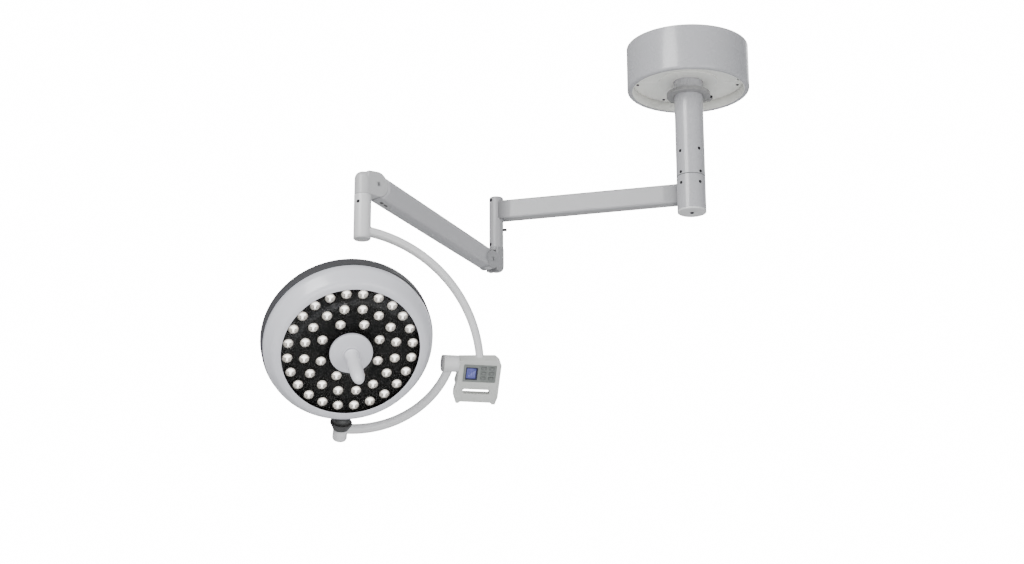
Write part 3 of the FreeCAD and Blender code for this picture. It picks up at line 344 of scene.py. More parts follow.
def move(x, y, z):
    return Matrix.Translation((x, y, z))


ARM_ANGLE, ARM_LENGTH = 165.06, 621.6           # extension arm, hub axis to post axis
SPRING_ANGLE, SPRING_REACH = 226.72, 568.8      # spring arm, post axis to yoke axis
ELBOW_X, ELBOW_Z = 38.0, -655.0                 # the spring arm's two pivots
KNUCKLE_X, KNUCKLE_Z = 529.0, -538.0
YOKE_ANGLE = 11.0
TILT_Z = -1077.0                                # height of the head's tilt axis
HEAD_TILT, BOX_TILT = 43.36, 40.0

pivot_run, pivot_rise = KNUCKLE_X - ELBOW_X, KNUCKLE_Z - ELBOW_Z
SPAN = math.hypot(pivot_rise, pivot_run)
ALONG_X = turn_y(90)                            # lays a lathe's Z axis along X

CEILING = Matrix.Identity(4)
ARM = turn_z(ARM_ANGLE)
ARM_END = ARM @ Vector((ARM_LENGTH, 0, 0))
POST = move(*ARM_END) @ turn_z(ARM_ANGLE)
SWING = move(*ARM_END) @ turn_z(SPRING_ANGLE)
SPRING = (move(*(SWING @ Vector((ELBOW_X, 0, ELBOW_Z)))) @ turn_z(SPRING_ANGLE)
          @ turn_y(-math.degrees(math.atan2(pivot_rise, pivot_run))))
YOKE = move(*(SWING @ Vector((SPRING_REACH, 0, 0)))) @ turn_z(YOKE_ANGLE)
TILT = YOKE @ move(0, 0, TILT_Z) @ turn_x(HEAD_TILT)
BOX = YOKE @ move(0, 0, TILT_Z) @ turn_x(BOX_TILT)
HEAD = TILT @ move(-35, -54, 51) @ turn_z(3.916) @ turn_x(90)
DRUM = TILT @ ALONG_X
CONE = TILT @ move(-34, 0, 0)


# ------------------------------------------------------------------ outlines
def rounded(corners):
    """Turn the corners given as (x, y, radius) into arcs and keep the plain points."""
    points = []
    for i, corner in enumerate(corners):
        if len(corner) < 3:
            points.append((corner[0], corner[1]))
            continue
        tip = Vector(corner[:2])
        back = Vector(corners[i - 1][:2]) - tip
        ahead = Vector(corners[(i + 1) % len(corners)][:2]) - tip
        room = min(back.length * 0.49, ahead.length * 0.49)
        back.normalize()
        ahead.normalize()
        angle = back.angle(ahead)
        if angle < 0.02 or abs(angle - math.pi) < 0.02:
            points.append((corner[0], corner[1]))
            continue
        setback = min(corner[2] / math.tan(angle / 2), room)
        radius = setback * math.tan(angle / 2)
        centre = tip + (back + ahead).normalized() * (radius / math.sin(angle / 2))
        steps = max(2, int(abs(math.pi - angle) / math.radians(11)) + 1)
        first = tip + back * setback - centre
        sweep = first.angle_signed(tip + ahead * setback - centre)
        for j in range(steps + 1):
            spoke = first.copy()
            spoke.rotate(Matrix.Rotation(-sweep * j / steps, 2))
            points.append(tuple(centre + spoke))
    return points


def spline(points, per):
    """Uniform Catmull-Rom curve through the points, with per steps in each interval."""
    knots = [Vector(point) for point in points]
    knots = [knots[0] * 2 - knots[1]] + knots + [knots[-1] * 2 - knots[-2]]
    curve = []
    for i in range(1, len(knots) - 2):
        a, b, c, d = knots[i - 1:i + 3]
        for j in range(per):
            t = j / per
            curve.append(tuple(0.5 * ((2 * b) + (c - a) * t + (2 * a - 5 * b + 4 * c - d) * t * t
                                      + (3 * b - a - 3 * c + d) * t ** 3)))
    curve.append(tuple(knots[-2]))
    return curve


def arc(start, end, radius, steps=16, centre=(0, 0)):
    """Points on a circle from start to end, in degrees."""
    angles = [math.radians(start + (end - start) * i / steps) for i in range(steps + 1)]
    return [(centre[0] + radius * math.cos(a), centre[1] + radius * math.sin(a))
            for a in angles]


def rectangle(x0, x1, y0, y1, radius=None):
    corner = (radius,) if radius else ()
    return [(x, y, *corner) for x, y in ((x0, y0), (x1, y0), (x1, y1), (x0, y1))]


def centred(x, y, half_x, half_y, radius=None):
    return rectangle(x - half_x, x + half_x, y - half_y, y + half_y, radius)


# ------------------------------------------------------------------ mesh builders
def skin_rings(mesh, rings):
    """Join a closed run of closed rings with quads."""
    for ring, following in zip(rings, rings[1:] + rings[:1]):
        count = len(ring)
        for k in range(count):
            after = (k + 1) % count
            mesh.faces.new((ring[k], ring[after], following[after], following[k]))


def revolve(mesh, outline, segments, place=None, knurl=None):
    """Revolve a closed (radius, height) outline about Z.

    knurl is (low, high, factor): between those heights every other ray is drawn in.
    """
    points = rounded(outline)
    rings = []
    for i in range(segments):
        angle = math.tau * i / segments
        ring = []
        for radius, z in points:
            if knurl and i % 2 == 0 and knurl[0] < z < knurl[1]:
                radius *= knurl[2]
            spot = Vector((radius * math.cos(angle), radius * math.sin(angle), z))
            ring.append(mesh.verts.new(place @ spot if place else spot))
        rings.append(ring)
    for i in range(segments):
        a, b = rings[i], rings[(i + 1) % segments]
        for j in range(len(points)):
            after = (j + 1) % len(points)
            # on the axis two corners fall together, so the quad becomes a triangle
            corners = []
            for vert in (a[j], b[j], b[after], a[after]):
                if all((vert.co - other.co).length > 1e-5 for other in corners):
                    corners.append(vert)
            if len(corners) >= 3:
                mesh.faces.new(corners)


def extrude(mesh, outline, start, end, holes=(), axis="y", place=None):
    """Prism from start to end along an axis: (x, z) points for "y", (x, y) for "z"."""
    caps = []
    for level in (start, end):
        edges, loops = [], []
        for loop in [outline, *holes]:
            verts = []
            for x, other in rounded(loop):
                spot = Vector((x, level, other) if axis == "y" else (x, other, level))
                verts.append(mesh.verts.new(place @ spot if place else spot))
            edges += [mesh.edges.new((verts[i], verts[(i + 1) % len(verts)]))
                      for i in range(len(verts))]
            loops.append(verts)
        bmesh.ops.triangle_fill(mesh, use_beauty=True, use_dissolve=False, edges=edges)
        caps.append(loops)
    for low, high in zip(*caps):
        for i in range(len(low)):
            after = (i + 1) % len(low)
            mesh.faces.new((low[i], low[after], high[after], high[i]))


def piece(name, mesh, frame, look, body, smooth=35, bevel=None, slot=None, replaces=None):
    """Finish a mesh drawn in a frame. The slot argument is not used."""
    bmesh.ops.remove_doubles(mesh, verts=mesh.verts, dist=0.002)
    bmesh.ops.recalc_face_normals(mesh, faces=mesh.faces)
    for face in mesh.faces:
        face.smooth = True
    data = bpy.data.meshes.new(name)
    mesh.to_mesh(data)
    mesh.free()
    data.transform(Matrix.Scale(MM, 4) @ frame)
    obj = bpy.data.objects.new(name, data)
    bpy.context.scene.collection.objects.link(obj)
    data.materials.append(MATERIALS[look])
    if bevel:
        modifier = obj.modifiers.new("bevel", "BEVEL")
        modifier.width = bevel * MM
        modifier.segments = 3
        modifier.limit_method = "ANGLE"
        modifier.angle_limit = math.radians(32)
    smooth_by_angle(obj, smooth)
    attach(obj, body)
    if replaces:
        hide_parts(replaces)


def lathe(name, outline, frame, look, body, segments, places=(None,), knurl=None, **finish):
    """A turned piece, repeated at each place."""
    mesh = bmesh.new()
    for place in places:
        revolve(mesh, outline, segments, place, knurl)
    piece(name, mesh, frame, look, body, **finish)


def prism(name, outline, start, end, frame, look, body,
          holes=(), axis="y", places=(None,), **finish):
    """An extruded piece, repeated at each place."""
    mesh = bmesh.new()
    for place in places:
        extrude(mesh, outline, start, end, holes, axis, place)
    piece(name, mesh, frame, look, body, **finish)


def section_corners(half_y, half_z, radius, steps):
    """The four corner arcs of a rounded rectangle, as (y, z) points."""
    y, z = half_y - radius, half_z - radius
    return [arc(start, start + 90, radius, steps, centre)
            for centre, start in (((y, z), 0), ((-y, z), 90), ((-y, -z), 180), ((y, -z), 270))]


def hollow_beam(name, outer, inner, start_x, end_x, stations, frame, look, body, **finish):
    """Tube along X. outer and inner give the section at t, start_x and end_x shape the ends."""
    mesh = bmesh.new()
    walls = []
    for section in (outer, inner):
        rings = []
        for station in range(stations + 1):
            t = station / stations
            ring = []
            for y, z in section(t):
                start, end = start_x(y, z), end_x(y, z)
                ring.append(mesh.verts.new((start + (end - start) * t, y, z)))
            rings.append(ring)
        for a, b in zip(rings, rings[1:]):
            for k in range(len(a)):
                after = (k + 1) % len(a)
                quad = (a[k], a[after], b[after], b[k])
                mesh.faces.new(quad if section is outer else tuple(reversed(quad)))
        walls.append(rings)
    for end in (0, -1):
        edges = []
        for rings in walls:
            ring = rings[end]
            edges += [mesh.edges.get((ring[k], ring[(k + 1) % len(ring)]))
                      for k in range(len(ring))]
        bmesh.ops.bridge_loops(mesh, edges=edges)
    piece(name, mesh, frame, look, body, smooth=40, **finish)


def weld_bead(name, centres, sides, radius, frame, look, body, square=True):
    """Closed bead of round section. Each ring starts towards its side direction, which is
    first squared to the path unless square is False."""
    ring_steps = 8
    mesh = bmesh.new()
    rings = []
    for i, (centre, side) in enumerate(zip(centres, sides)):
        tangent = (centres[(i + 1) % len(centres)] - centres[i - 1]).normalized()
        across = tangent.cross(side).normalized()
        if square:
            side = across.cross(tangent).normalized()
        angles = [math.tau * k / ring_steps for k in range(ring_steps)]
        rings.append([mesh.verts.new(centre + (side * math.cos(a) + across * math.sin(a)) * radius)
                      for a in angles])
    skin_rings(mesh, rings)
    piece(name, mesh, frame, look, body, smooth=60)


# ------------------------------------------------------------------ lamp head
RIM = 248.0             # outside radius of the head
REAR_SCREW_CIRCLE = 205
RIB_PITCH = 14.0
LED_CIRCLES = ((179.9, 24), (132.8, 16), (88.5, 8))     # radius, number of LEDs
LED_TWIST = 1.4         # degrees
FACET_BACK = -9.2


def build_head_shells():
    # (radius, height) outlines
    front_outer = spline([
        (RIM - 3.5, -60), (RIM - 3.5, -52), (RIM - 3.7, -45), (RIM - 5.6, -37.5),
        (RIM - 10.6, -28), (RIM - 17, -16.5), (RIM - 22.6, -7.4), (RIM - 29, -0.8),
        (RIM - 37, 2.9), (202.2, 4.4)], per=5)
    window_lip = [(200.4, 4.45), (199.3, 4.0), (199.0, 3.2), (199.0, 1.75), (204.0, 1.75)]
    front_inner = spline([
        (204.0, -1.4), (RIM - 38, -2.4), (RIM - 31, -5), (RIM - 25.2, -10), (RIM - 20, -18.5),
        (RIM - 13.7, -29.5), (RIM - 8.4, -39.5), (RIM - 6.7, -47), (RIM - 6.7, -60)], per=3)
    front_edge = [(RIM - 5.6, -60.6), (RIM - 4.4, -60.6)]
    lathe("head_front_shell_skin", front_outer + window_lip + front_inner + front_edge,
          HEAD, "white_shell", "lamp_head", 256, smooth=40, replaces="head_front_shell")

    rear_edge = [(RIM - 3.2, -60.3), (RIM - 1.4, -60.3), (RIM - 0.5, -60.7),
                 (RIM - 0.05, -61.6), (RIM, -63)]
    rear_outer = spline([
        (RIM, -76), (RIM, -90), (RIM - 0.7, -96), (RIM - 3.4, -101), (RIM - 8.2, -104.8),
        (RIM - 23, -109.6), (190, -112.4), (150, -114.8), (60, -118.2), (0, -119)], per=5)
    rear_inner = spline([
        (0, -116), (60, -115.2), (150, -111.8), (190, -109.4), (RIM - 24, -106.5),
        (RIM - 10, -101.5), (RIM - 4.7, -96.5), (RIM - 3.2, -91), (RIM - 3.2, -62)], per=3)
    lathe("head_rear_cover_skin", rear_edge + rear_outer + rear_inner,
          HEAD, "rear_shell", "lamp_head", 256, smooth=40, replaces="head_rear_cover")


def build_rear_cover_details():
    places = []
    for k in range(4):
        angle = math.radians(45 + 90 * k)
        places.append(move(REAR_SCREW_CIRCLE * math.cos(angle),
                           REAR_SCREW_CIRCLE * math.sin(angle), -111.0) @ turn_x(180))
    lathe("rear_cover_screws",
          [(0, 0), (7, 0), (7, 1.6, 0.8), (5.2, 2.6, 0.6), (3.0, 2.6), (2.6, 1.2), (0, 1.2)],
          HEAD, "screw_black", "lamp_head", 28, places=places)
    # eleven ribs, shorter away from the middle
    mesh = bmesh.new()
    for k in range(-5, 6):
        half_length = 58 - abs(k) * 4.2
        extrude(mesh, centred(0, 0, half_length, 2.6, radius=2.4), -3.4, 0.6, axis="z",
                place=move(0, RIB_PITCH * k, -116.6))
    piece("rear_cover_ribs", mesh, HEAD, "rear_shell", "lamp_head", bevel=0.7)


def led_places():
    places = []
    for radius, count in LED_CIRCLES:
        for i in range(count):
            angle = (math.pi / 2 + math.pi / count - 2 * math.pi * i / count
                     + math.radians(LED_TWIST))
            places.append(move(radius * math.cos(angle), radius * math.sin(angle), 0))
    return places


def led_facets(name, facets, look, places):
    """Flat facets of painted light at every LED, each an (outline, back, front)."""
    mesh = bmesh.new()
    for place in places:
        for outline, back, front in facets:
            extrude(mesh, outline, back, front, axis="z", place=place)
    piece(name, mesh, HEAD, look, "lamp_head", smooth=50, slot="lens")


def build_leds():
    places = led_places()
    lathe("led_panel_sheet", [(48, -12.0), (203.0, -12.0), (203.0, -9.6), (48, -9.6)],
          HEAD, "panel_black", "lamp_head", 160, replaces="led_panel")

    bowl = [(3.6 + 10.9 * (1 - k / 9) ** 0.6, -8.7 - 3.1 * (k / 9)) for k in range(1, 10)]
    cup = [(15.4, -9.55), (15.4, -8.7), (14.5, -8.7), *bowl, (0, -11.8), (0, -12.4), (13, -12.4)]
    lathe("led_reflector_cups", cup, HEAD, "reflector", "lamp_head", 32, places=places,
          smooth=60, slot="lens")

    # upper facet with a stem hanging from it
    stem = [(-5.4, 2.6), (-3.0, 0.4), (-2.5, -3.0), (-2.2, -7.2),
            (2.2, -7.2), (2.5, -3.0), (3.0, 0.4), (5.4, 2.6)]
    upper = [(arc(24, 156, 9.6) + stem, FACET_BACK, -7.4)]
    # a crescent above the upper facet and a wedge below the stem
    soft = [(arc(16, 164, 12.2) + arc(162, 18, 9.9), FACET_BACK, -7.6),
            (arc(240, 300, 10.1, 8) + [(2.4, -7.5), (-2.4, -7.5)], FACET_BACK, -7.8)]
    # outer crescent, a petal on each side and a lower crescent
    petal = [(3.1, -1.0), (6.6, 1.9), (10.2, 2.4), (13.4, 2.4), (13.6, -2.0),
             (11.6, -6.4), (9.4, -8.6), (4.4, -6.8), (2.9, -4.6)]
    edge = [(arc(4, 176, 14.2) + arc(175, 5, 12.5), FACET_BACK, -7.9),
            ([(-x, y) for x, y in reversed(petal)], -9.4, -8.6),
            (petal, -9.4, -8.6),
            (arc(222, 318, 13.6, 12) + arc(316, 224, 10.4, 12), FACET_BACK, -7.8)]
    # painted light in each lens: bright upper facet, softer crescent and wedge, dimmer outer
    # crescents and petals
    led_facets("led_upper_facets", upper, "painted_light_bright", places)
    led_facets("led_lower_facets", soft, "painted_light_soft", places)
    led_facets("led_edge_facets", edge, "painted_light_edge", places)

    def dome_wall(radius, rise, degrees):
        return [(radius * math.cos(math.radians(t)), -8.4 + rise * math.sin(math.radians(t)))
                for t in degrees]

    dome = (dome_wall(14.6, 6.2, range(0, 90, 9)) + [(0, -2.2), (0, -2.8)]
            + dome_wall(13.9, 5.6, range(81, -1, -9)))
    lathe("led_lens_domes", dome, HEAD, "led_dome", "lamp_head", 36, places=places,
          smooth=50, slot="lens", replaces="led_lenses")
    lathe("led_lens_rings",
          [(14.8, -9.6), (16.0, -9.6), (16.0, -8.0, 0.5), (15.4, -7.4, 0.3), (14.8, -7.8)],
          HEAD, "panel_black", "lamp_head", 36, places=places, smooth=40)


def build_head_centre():
    lathe("front_window_sheet", [(21, -0.4), (202.6, -0.4), (202.6, 1.4), (21, 1.4)],
          HEAD, "window", "lamp_head", 160, replaces="front_window")
    # crowned hub disc with a shallow ring round the handle
    crown = spline([(62.0, 6.0), (62.0, 11.0), (61.0, 13.4), (57.5, 15.3), (48, 17.4),
                    (36, 18.9), (28, 19.5)], per=4)
    ring = [(27.4, 19.1), (26.6, 19.1), (26.0, 19.9), (22.4, 20.3), (21.8, 19.9), (14.7, 19.9)]
    lathe("head_hub_dome", [(14.7, 1.7), (61.0, 1.7), (61.8, 2.4)] + crown + ring,
          HEAD, "white_shell", "lamp_head", 144, smooth=40, replaces="head_hub_disc")
    foot = [(9.1, 21.3), (20.4, 21.3), (21.0, 21.9), (21.0, 23.2)]
    grip = spline([(20.6, 24.6), (19.4, 26.0), (18.7, 28.5), (18.5, 33), (18.5, 52), (18.8, 62),
                   (19.5, 74), (20.0, 92), (20.0, 108), (19.3, 128), (18.2, 145), (16.4, 157),
                   (13.0, 167), (8.3, 173), (4, 175.4), (0, 176)], per=5)
    lathe("sterile_handle_skin", foot + grip + [(0, 157.3), (9.1, 157.3)],
          HEAD, "handle_white", "sterile_handle", 72, smooth=40, replaces="sterile_handle")


# ------------------------------------------------------------------ ceiling mount
TUBE_RADIUS, TUBE_BORE = 44.5, 40.5
POST_RADIUS, POST_BORE = 22.0, 18.0
SLEEVE_RADIUS, SLEEVE_BORE = 25.6, 20.6


def build_ceiling_mount():
    body = "ceiling_mount"
    lathe("canopy_dome",
          [(187.2, -3.0, 0.5), (190.0, -3.0, 0.9), (190.0, -146.0, 14.0), (175.4, -146.0, 0.5),
           (175.4, -112.1, 0.6), (152.0, -112.1, 0.6), (152.0, -109.0, 0.6),
           (177.6, -109.0, 1.2), (177.6, -141.5, 0.4), (187.2, -141.5, 9.0)],
          CEILING, "canopy_paint", body, 224, replaces="canopy_shell")
    half_plate = arc(0.35, 179.65, 172.3, 60) + arc(179.2, 0.8, 66.0, 40)
    prism("underside_half_plates", half_plate, -115.2, -112.2, CEILING, "ivory_plastic", body,
          axis="z", places=(turn_z(0), turn_z(180)), bevel=0.6, replaces="underside_plates")
    lathe("underside_skirt",
          [(172.5, -144.6, 0.4), (175.3, -144.6, 0.4), (175.3, -112.4), (172.5, -112.4)],
          CEILING, "ivory_plastic", body, 192)
    lathe("underside_centre_disc",
          [(45.7, -115.4), (92.0, -115.4), (92.0, -118.4, 1.4), (47.5, -118.4, 0.8),
           (45.7, -117.6, 0.4)],
          CEILING, "ivory_plastic", body, 128, replaces="underside_disc")
    # split ring whose two ends turn out into lugs
    collar = (arc(10.16, 349.84, 68, 72) + [(78, -12), (78, -2.5)]
              + arc(356.8, 3.2, 44.62, 72) + [(78, 2.5), (78, 12)])
    prism("split_collar_skin", collar, -166.0, -154.0, CEILING, "collar_plastic", body,
          axis="z", places=(turn_z(20),), bevel=1.4, slot="box_plastic",
          replaces="split_collar")
    lathe("drop_tube_skin",
          [(TUBE_BORE, -70.1), (75, -70.1, 0.8), (75, -80, 0.8), (TUBE_RADIUS, -80, 3.0),
           (TUBE_RADIUS, -431.0, 1.2), (TUBE_BORE, -431.0)],
          CEILING, "canopy_paint", body, 112, replaces="drop_tube")


def radial_screws(name, radius, spots, frame, body):
    """Screw heads facing out of a tube, at (degrees, height) spots."""
    head = [(0, -0.4), (5.0, -0.4), (5.0, 0.5, 0.3), (4.2, 0.5), (4.0, 1.9, 0.5),
            (2.3, 1.9), (2.2, 0.3), (0, 0.3)]
    places = [turn_z(angle) @ move(radius, 0, z) @ ALONG_X for angle, z in spots]
    lathe(name, head, frame, "screw_black", body, 28, places=places)


def build_tube_screws():
    radial_screws("tube_screw_heads", TUBE_RADIUS,
                  [(222, -355), (303, -350), (307, -424), (222, -424)],
                  CEILING, "ceiling_mount")
    radial_screws("hub_screw_heads", TUBE_RADIUS, [(138, -459), (57, -459)],
                  ARM, "extension_arm")
    radial_screws("sleeve_screw_head", SLEEVE_RADIUS, [(232, -603)], YOKE, "yoke")
    radial_screws("post_plug_screws", POST_RADIUS,
                  [(215 - ARM_ANGLE, -598), (222 - ARM_ANGLE, -452)], POST, "extension_arm")


# ------------------------------------------------------------------ extension arm
BEAM_Z = -485.4         # height of the beam's centre line


def build_hub_and_post():
    body = "extension_arm"
    lathe("hub_seam_ring", [(40.6, -431.5), (44.35, -431.5), (44.35, -432.4), (40.6, -432.4)],
          ARM, "dark_plastic", body, 112)
    lathe("hub_sleeve_skin",
          [(36.1, -432.6), (TUBE_RADIUS, -432.6, 1.2), (TUBE_RADIUS, -541.0, 0.4),
           (36.1, -541.0)],
          ARM, "canopy_paint", body, 112, replaces="hub_sleeve")
    lathe("hub_cap_skin",
          [(0, -541.1), (44.4, -541.1, 0.3), (44.4, -547.0, 2.2), (12.5, -547.1, 0.2),
           (11.5, -546.2, 0.3), (0, -546.2)],
          ARM, "sleeve_paint", body, 112)
    lathe("post_cap_skin",
          [(0, -440.2), (21.2, -440.2, 2.8), (POST_RADIUS, -445.1, 0.3), (17.9, -445.1),
           (17.9, -452.0), (0, -452.0)],
          POST, "arm_paint", body, 72, replaces="arm_end_caps")
    lathe("swivel_post_skin",
          [(POST_BORE, -445.2), (POST_RADIUS, -445.2, 0.4), (POST_RADIUS, -609.0, 0.9),
           (POST_BORE, -609.0)],
          POST, "arm_paint", body, 72, replaces="swivel_post")


def evened_section(half_y, half_z, radius, spacing=3.0):
    """Rounded rectangle with its long sides cut to about the spacing."""
    corners = [Vector(point) for corner in section_corners(half_y, half_z, radius, 5)
               for point in corner]
    points = []
    for a, b in zip(corners, corners[1:] + corners[:1]):
        steps = max(1, int((b - a).length / spacing))
        points += [tuple(a + (b - a) * j / steps) for j in range(steps)]
    return points


def build_extension_beam():
    outer, inner = evened_section(20, 31, 5.5), evened_section(17, 28, 2.8)

    def at_hub(y, clearance):
        return math.sqrt((TUBE_RADIUS + clearance) ** 2 - y * y)

    def at_post(y, clearance):
        return ARM_LENGTH - math.sqrt((POST_RADIUS + clearance) ** 2 - y * y)

    hollow_beam("extension_beam_skin",
                lambda t: [(y, z + BEAM_Z) for y, z in outer],
                lambda t: [(y, z + BEAM_Z) for y, z in inner],
                lambda y, z: at_hub(y, 0.05), lambda y, z: at_post(y, 0.05),
                12, ARM, "arm_paint", "extension_arm", replaces="extension_beam")
    for name, end, radius in (("beam_weld_hub", at_hub, 1.5), ("beam_weld_post", at_post, 1.3)):
        centres = [Vector((end(y, 0.1), y, z + BEAM_Z)) for y, z in outer]
        weld_bead(name, centres, [Vector((1, 0, 0))] * len(centres), radius,
                  ARM, "arm_paint", "extension_arm")


def build_brake_screw():
    """Knurled head on a short neck, pointing out of the post."""
    outline = [(0, 20.6), (4.3, 20.6), (4.3, 24.8), (4.4, 25.0), (4.6, 25.6), (4.4, 31.6),
               (3.9, 32.6), (1.7, 33.4), (0, 33.4)]
    lathe("brake_screw_knurled", outline,
          move(ARM_END.x, ARM_END.y, -545.0) @ turn_z(6) @ ALONG_X,
          "dark_plastic", "brake_screw", 40, knurl=(25.4, 32.5, 0.93), smooth=25,
          replaces="brake_screw")


# ------------------------------------------------------------------ spring arm
SPRING_HALF_WIDTH = 25
SPRING_HALF_HEIGHT = 28         # at the elbow
SPRING_TAPER = 7                # added to the half height by the knuckle
COVER = (SPRING @ move(0, 0, -SPRING_HALF_HEIGHT)
         @ turn_y(math.degrees(math.atan2(SPRING_TAPER, SPAN))))    # arm's lower face


def spring_section(t, inset=0.0):
    arcs = section_corners(SPRING_HALF_WIDTH - inset,
                           SPRING_HALF_HEIGHT + SPRING_TAPER * t - inset, 7.5 - inset, 6)
    points = []
    for corner, following, steps in zip(arcs, arcs[1:] + arcs[:1], (14, 18, 14, 18)):
        (y0, z0), (y1, z1) = corner[-1], following[0]
        points += corner
        points += [(y0 + (y1 - y0) * j / steps, z0 + (z1 - z0) * j / steps)
                   for j in range(1, steps)]
    return points


def build_spring_arm():
    hollow_beam("spring_arm_skin", spring_section, lambda t: spring_section(t, inset=3.6),
                lambda y, z: math.sqrt(max(28.7 ** 2 - z * z, 1.0)),
                lambda y, z: SPAN - math.sqrt(max(39.2 ** 2 - z * z, 1.0)),
                40, SPRING, "spring_arm_painted_shading", "spring_arm", slot="arm_paint",
                replaces="spring_arm_shell")
    prism("spring_arm_under_cover", rectangle(60, SPAN - 74, -16.5, 16.5, radius=8), -1.1, 1.5,
          COVER, "spring_arm_painted_shading", "spring_arm", axis="z", bevel=0.6, slot="arm_paint",
          replaces="spring_arm_cover")
    lathe("under_cover_screws",
          [(0, 0.6), (3.2, 0.6), (3.2, 1.1, 0.3), (2.6, 2.2, 0.5), (0, 2.4)],
          COVER, "steel", "spring_arm", 24,
          places=[move(x, 0, -1.0) @ turn_x(180) @ move(0, 0, -0.6)
                  for x in (72, 240, SPAN - 86)])


def build_adjuster():
    """Rimmed oval and a dark round bore on the underside, beside the knuckle."""
    def oval(half_length, half_width):
        outline = rounded(centred(0, 0, half_length, half_width, radius=half_width * 0.98))
        return [(x + SPAN - 62, y) for x, y in outline]

    prism("adjuster_oval_rim", oval(9, 5), -0.9, 0.8, COVER, "arm_paint", "spring_arm",
          axis="z", bevel=0.4)
    mesh = bmesh.new()
    extrude(mesh, oval(7.2, 3.4), -1.05, 0.4, axis="z")
    revolve(mesh, [(0, 0.3), (5.5, 0.3), (5.5, -0.6), (0, -0.6)], 28, move(SPAN - 46, 0, 0))
    piece("adjuster_bore", mesh, COVER, "dark_plastic", "spring_arm")


def pin_heads(name, x, half_width):
    """Slotted pin heads on both sides of a pivot."""
    radius = 6.6
    sides = [move(x, 0, 0) @ turn_x(-90 * side) for side in (1, -1)]
    outward = move(0, 0, half_width - 0.1)
    lathe(name, [(0, 0), (radius, 0), (radius, 1.2, 0.5), (radius * 0.55, 1.5, 0.2),
                 (radius * 0.5, 1.2), (0, 1.2)],
          SPRING, "steel", "spring_arm", 36, places=[side @ outward for side in sides])
    prism(name + "_slots", centred(0, 0, 0.9, radius * 0.8), 1.0, 1.62,
          SPRING, "dark_plastic", "spring_arm", axis="z",
          places=[side @ turn_z(12) @ outward for side in sides])


def build_pivots():
    pin_heads("elbow_pin_heads", 0, 23.5)
    pin_heads("knuckle_pin_heads", SPAN, 25.35)
    # curved shield inside the elbow's fork
    prism("elbow_dust_shield", arc(-168, -28, 28.9, 35) + arc(-28, -168, 24.6, 35),
          -15.2, 15.2, SPRING, "spring_arm_painted_shading", "spring_arm", smooth=40, slot="arm_paint")


def casting(node, name, look, body):
    """The CAD solid remeshed and softened along its edges like a painted casting."""
    obj = bpy.data.objects.new(name, NODES[node].data.copy())
    bpy.context.scene.collection.objects.link(obj)
    obj.modifiers.new("weld", "WELD").merge_threshold = CAD_WELD
    remesh = obj.modifiers.new("remesh", "REMESH")
    remesh.mode = "VOXEL"
    remesh.voxel_size = 0.9 * MM
    soften = obj.modifiers.new("smooth", "SMOOTH")
    soften.factor = 0.5
    soften.iterations = 7
    depsgraph = bpy.context.evaluated_depsgraph_get()
    baked = bpy.data.meshes.new_from_object(obj.evaluated_get(depsgraph))
    obj.modifiers.clear()
    obj.data = baked
    use_material(obj, MATERIALS[look])
    for polygon in baked.polygons:
        polygon.use_smooth = True
    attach(obj, body)
    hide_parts(node)


def build_castings():
    # the elbow housing takes a darker copy of the arm paint as painted shade
    casting("elbow_casting", "elbow_housing_skin", "elbow_painted_shade", "spring_arm_base")
    # the knuckle housing takes a darker copy of the sleeve paint as painted shade
    casting("knuckle_casting", "knuckle_housing_skin", "knuckle_paint", "front_knuckle")


# ------------------------------------------------------------------ yoke and tilt joint
BOW_CENTRE_X, BOW_CENTRE_Z, BOW_RADIUS = -51.0, -1085.4, 402.3
BOW_TUBE_RADIUS = 15.0


def build_yoke_sleeve():
    lathe("yoke_sleeve_skin",
          [(SLEEVE_BORE, -577.7), (SLEEVE_RADIUS, -577.7, 0.9), (SLEEVE_RADIUS, -709.0, 0.3),
           (SLEEVE_BORE, -709.0)],
          YOKE, "sleeve_paint", "yoke", 80, replaces="yoke_sleeve")
    lathe("sleeve_cap_skin",
          [(0, -709.3), (25.1, -709.3, 0.2), (SLEEVE_RADIUS, -709.9, 0.2),
           (SLEEVE_RADIUS, -711.9, 0.6), (23.4, -714.2, 0.9), (9.0, -714.2, 0.3),
           (8.4, -713.4, 0.3), (0, -713.4)],
          YOKE, "sleeve_paint", "yoke", 80, replaces="sleeve_end_cap")


def build_bow_weld():
    """Bead where the bow enters the sleeve."""
    steps = 48
    end_angle = math.radians(79.2)
    run_angle = math.radians(80.0)
    bow_end = Vector((BOW_CENTRE_X + BOW_RADIUS * math.cos(end_angle), 0,
                      BOW_CENTRE_Z + BOW_RADIUS * math.sin(end_angle)))
    run = Vector((math.sin(run_angle), 0, -math.cos(run_angle)))
    level = Vector((0, 1, 0))
    upright = run.cross(level).normalized()
    centres, sides = [], []
    for k in range(steps):
        angle = math.tau * k / steps
        side = level * math.cos(angle) + upright * math.sin(angle)
        # slide the tube's outline along its axis onto the sleeve
        start = bow_end + side * BOW_TUBE_RADIUS
        sleeve_x = math.sqrt((SLEEVE_RADIUS + 0.05) ** 2 - start.y * start.y)
        centres.append(start + run * ((sleeve_x - start.x) / run.x))
        sides.append(side)
    weld_bead("bow_weld", centres, sides, 1.4, YOKE, "sleeve_paint", "yoke", square=False)


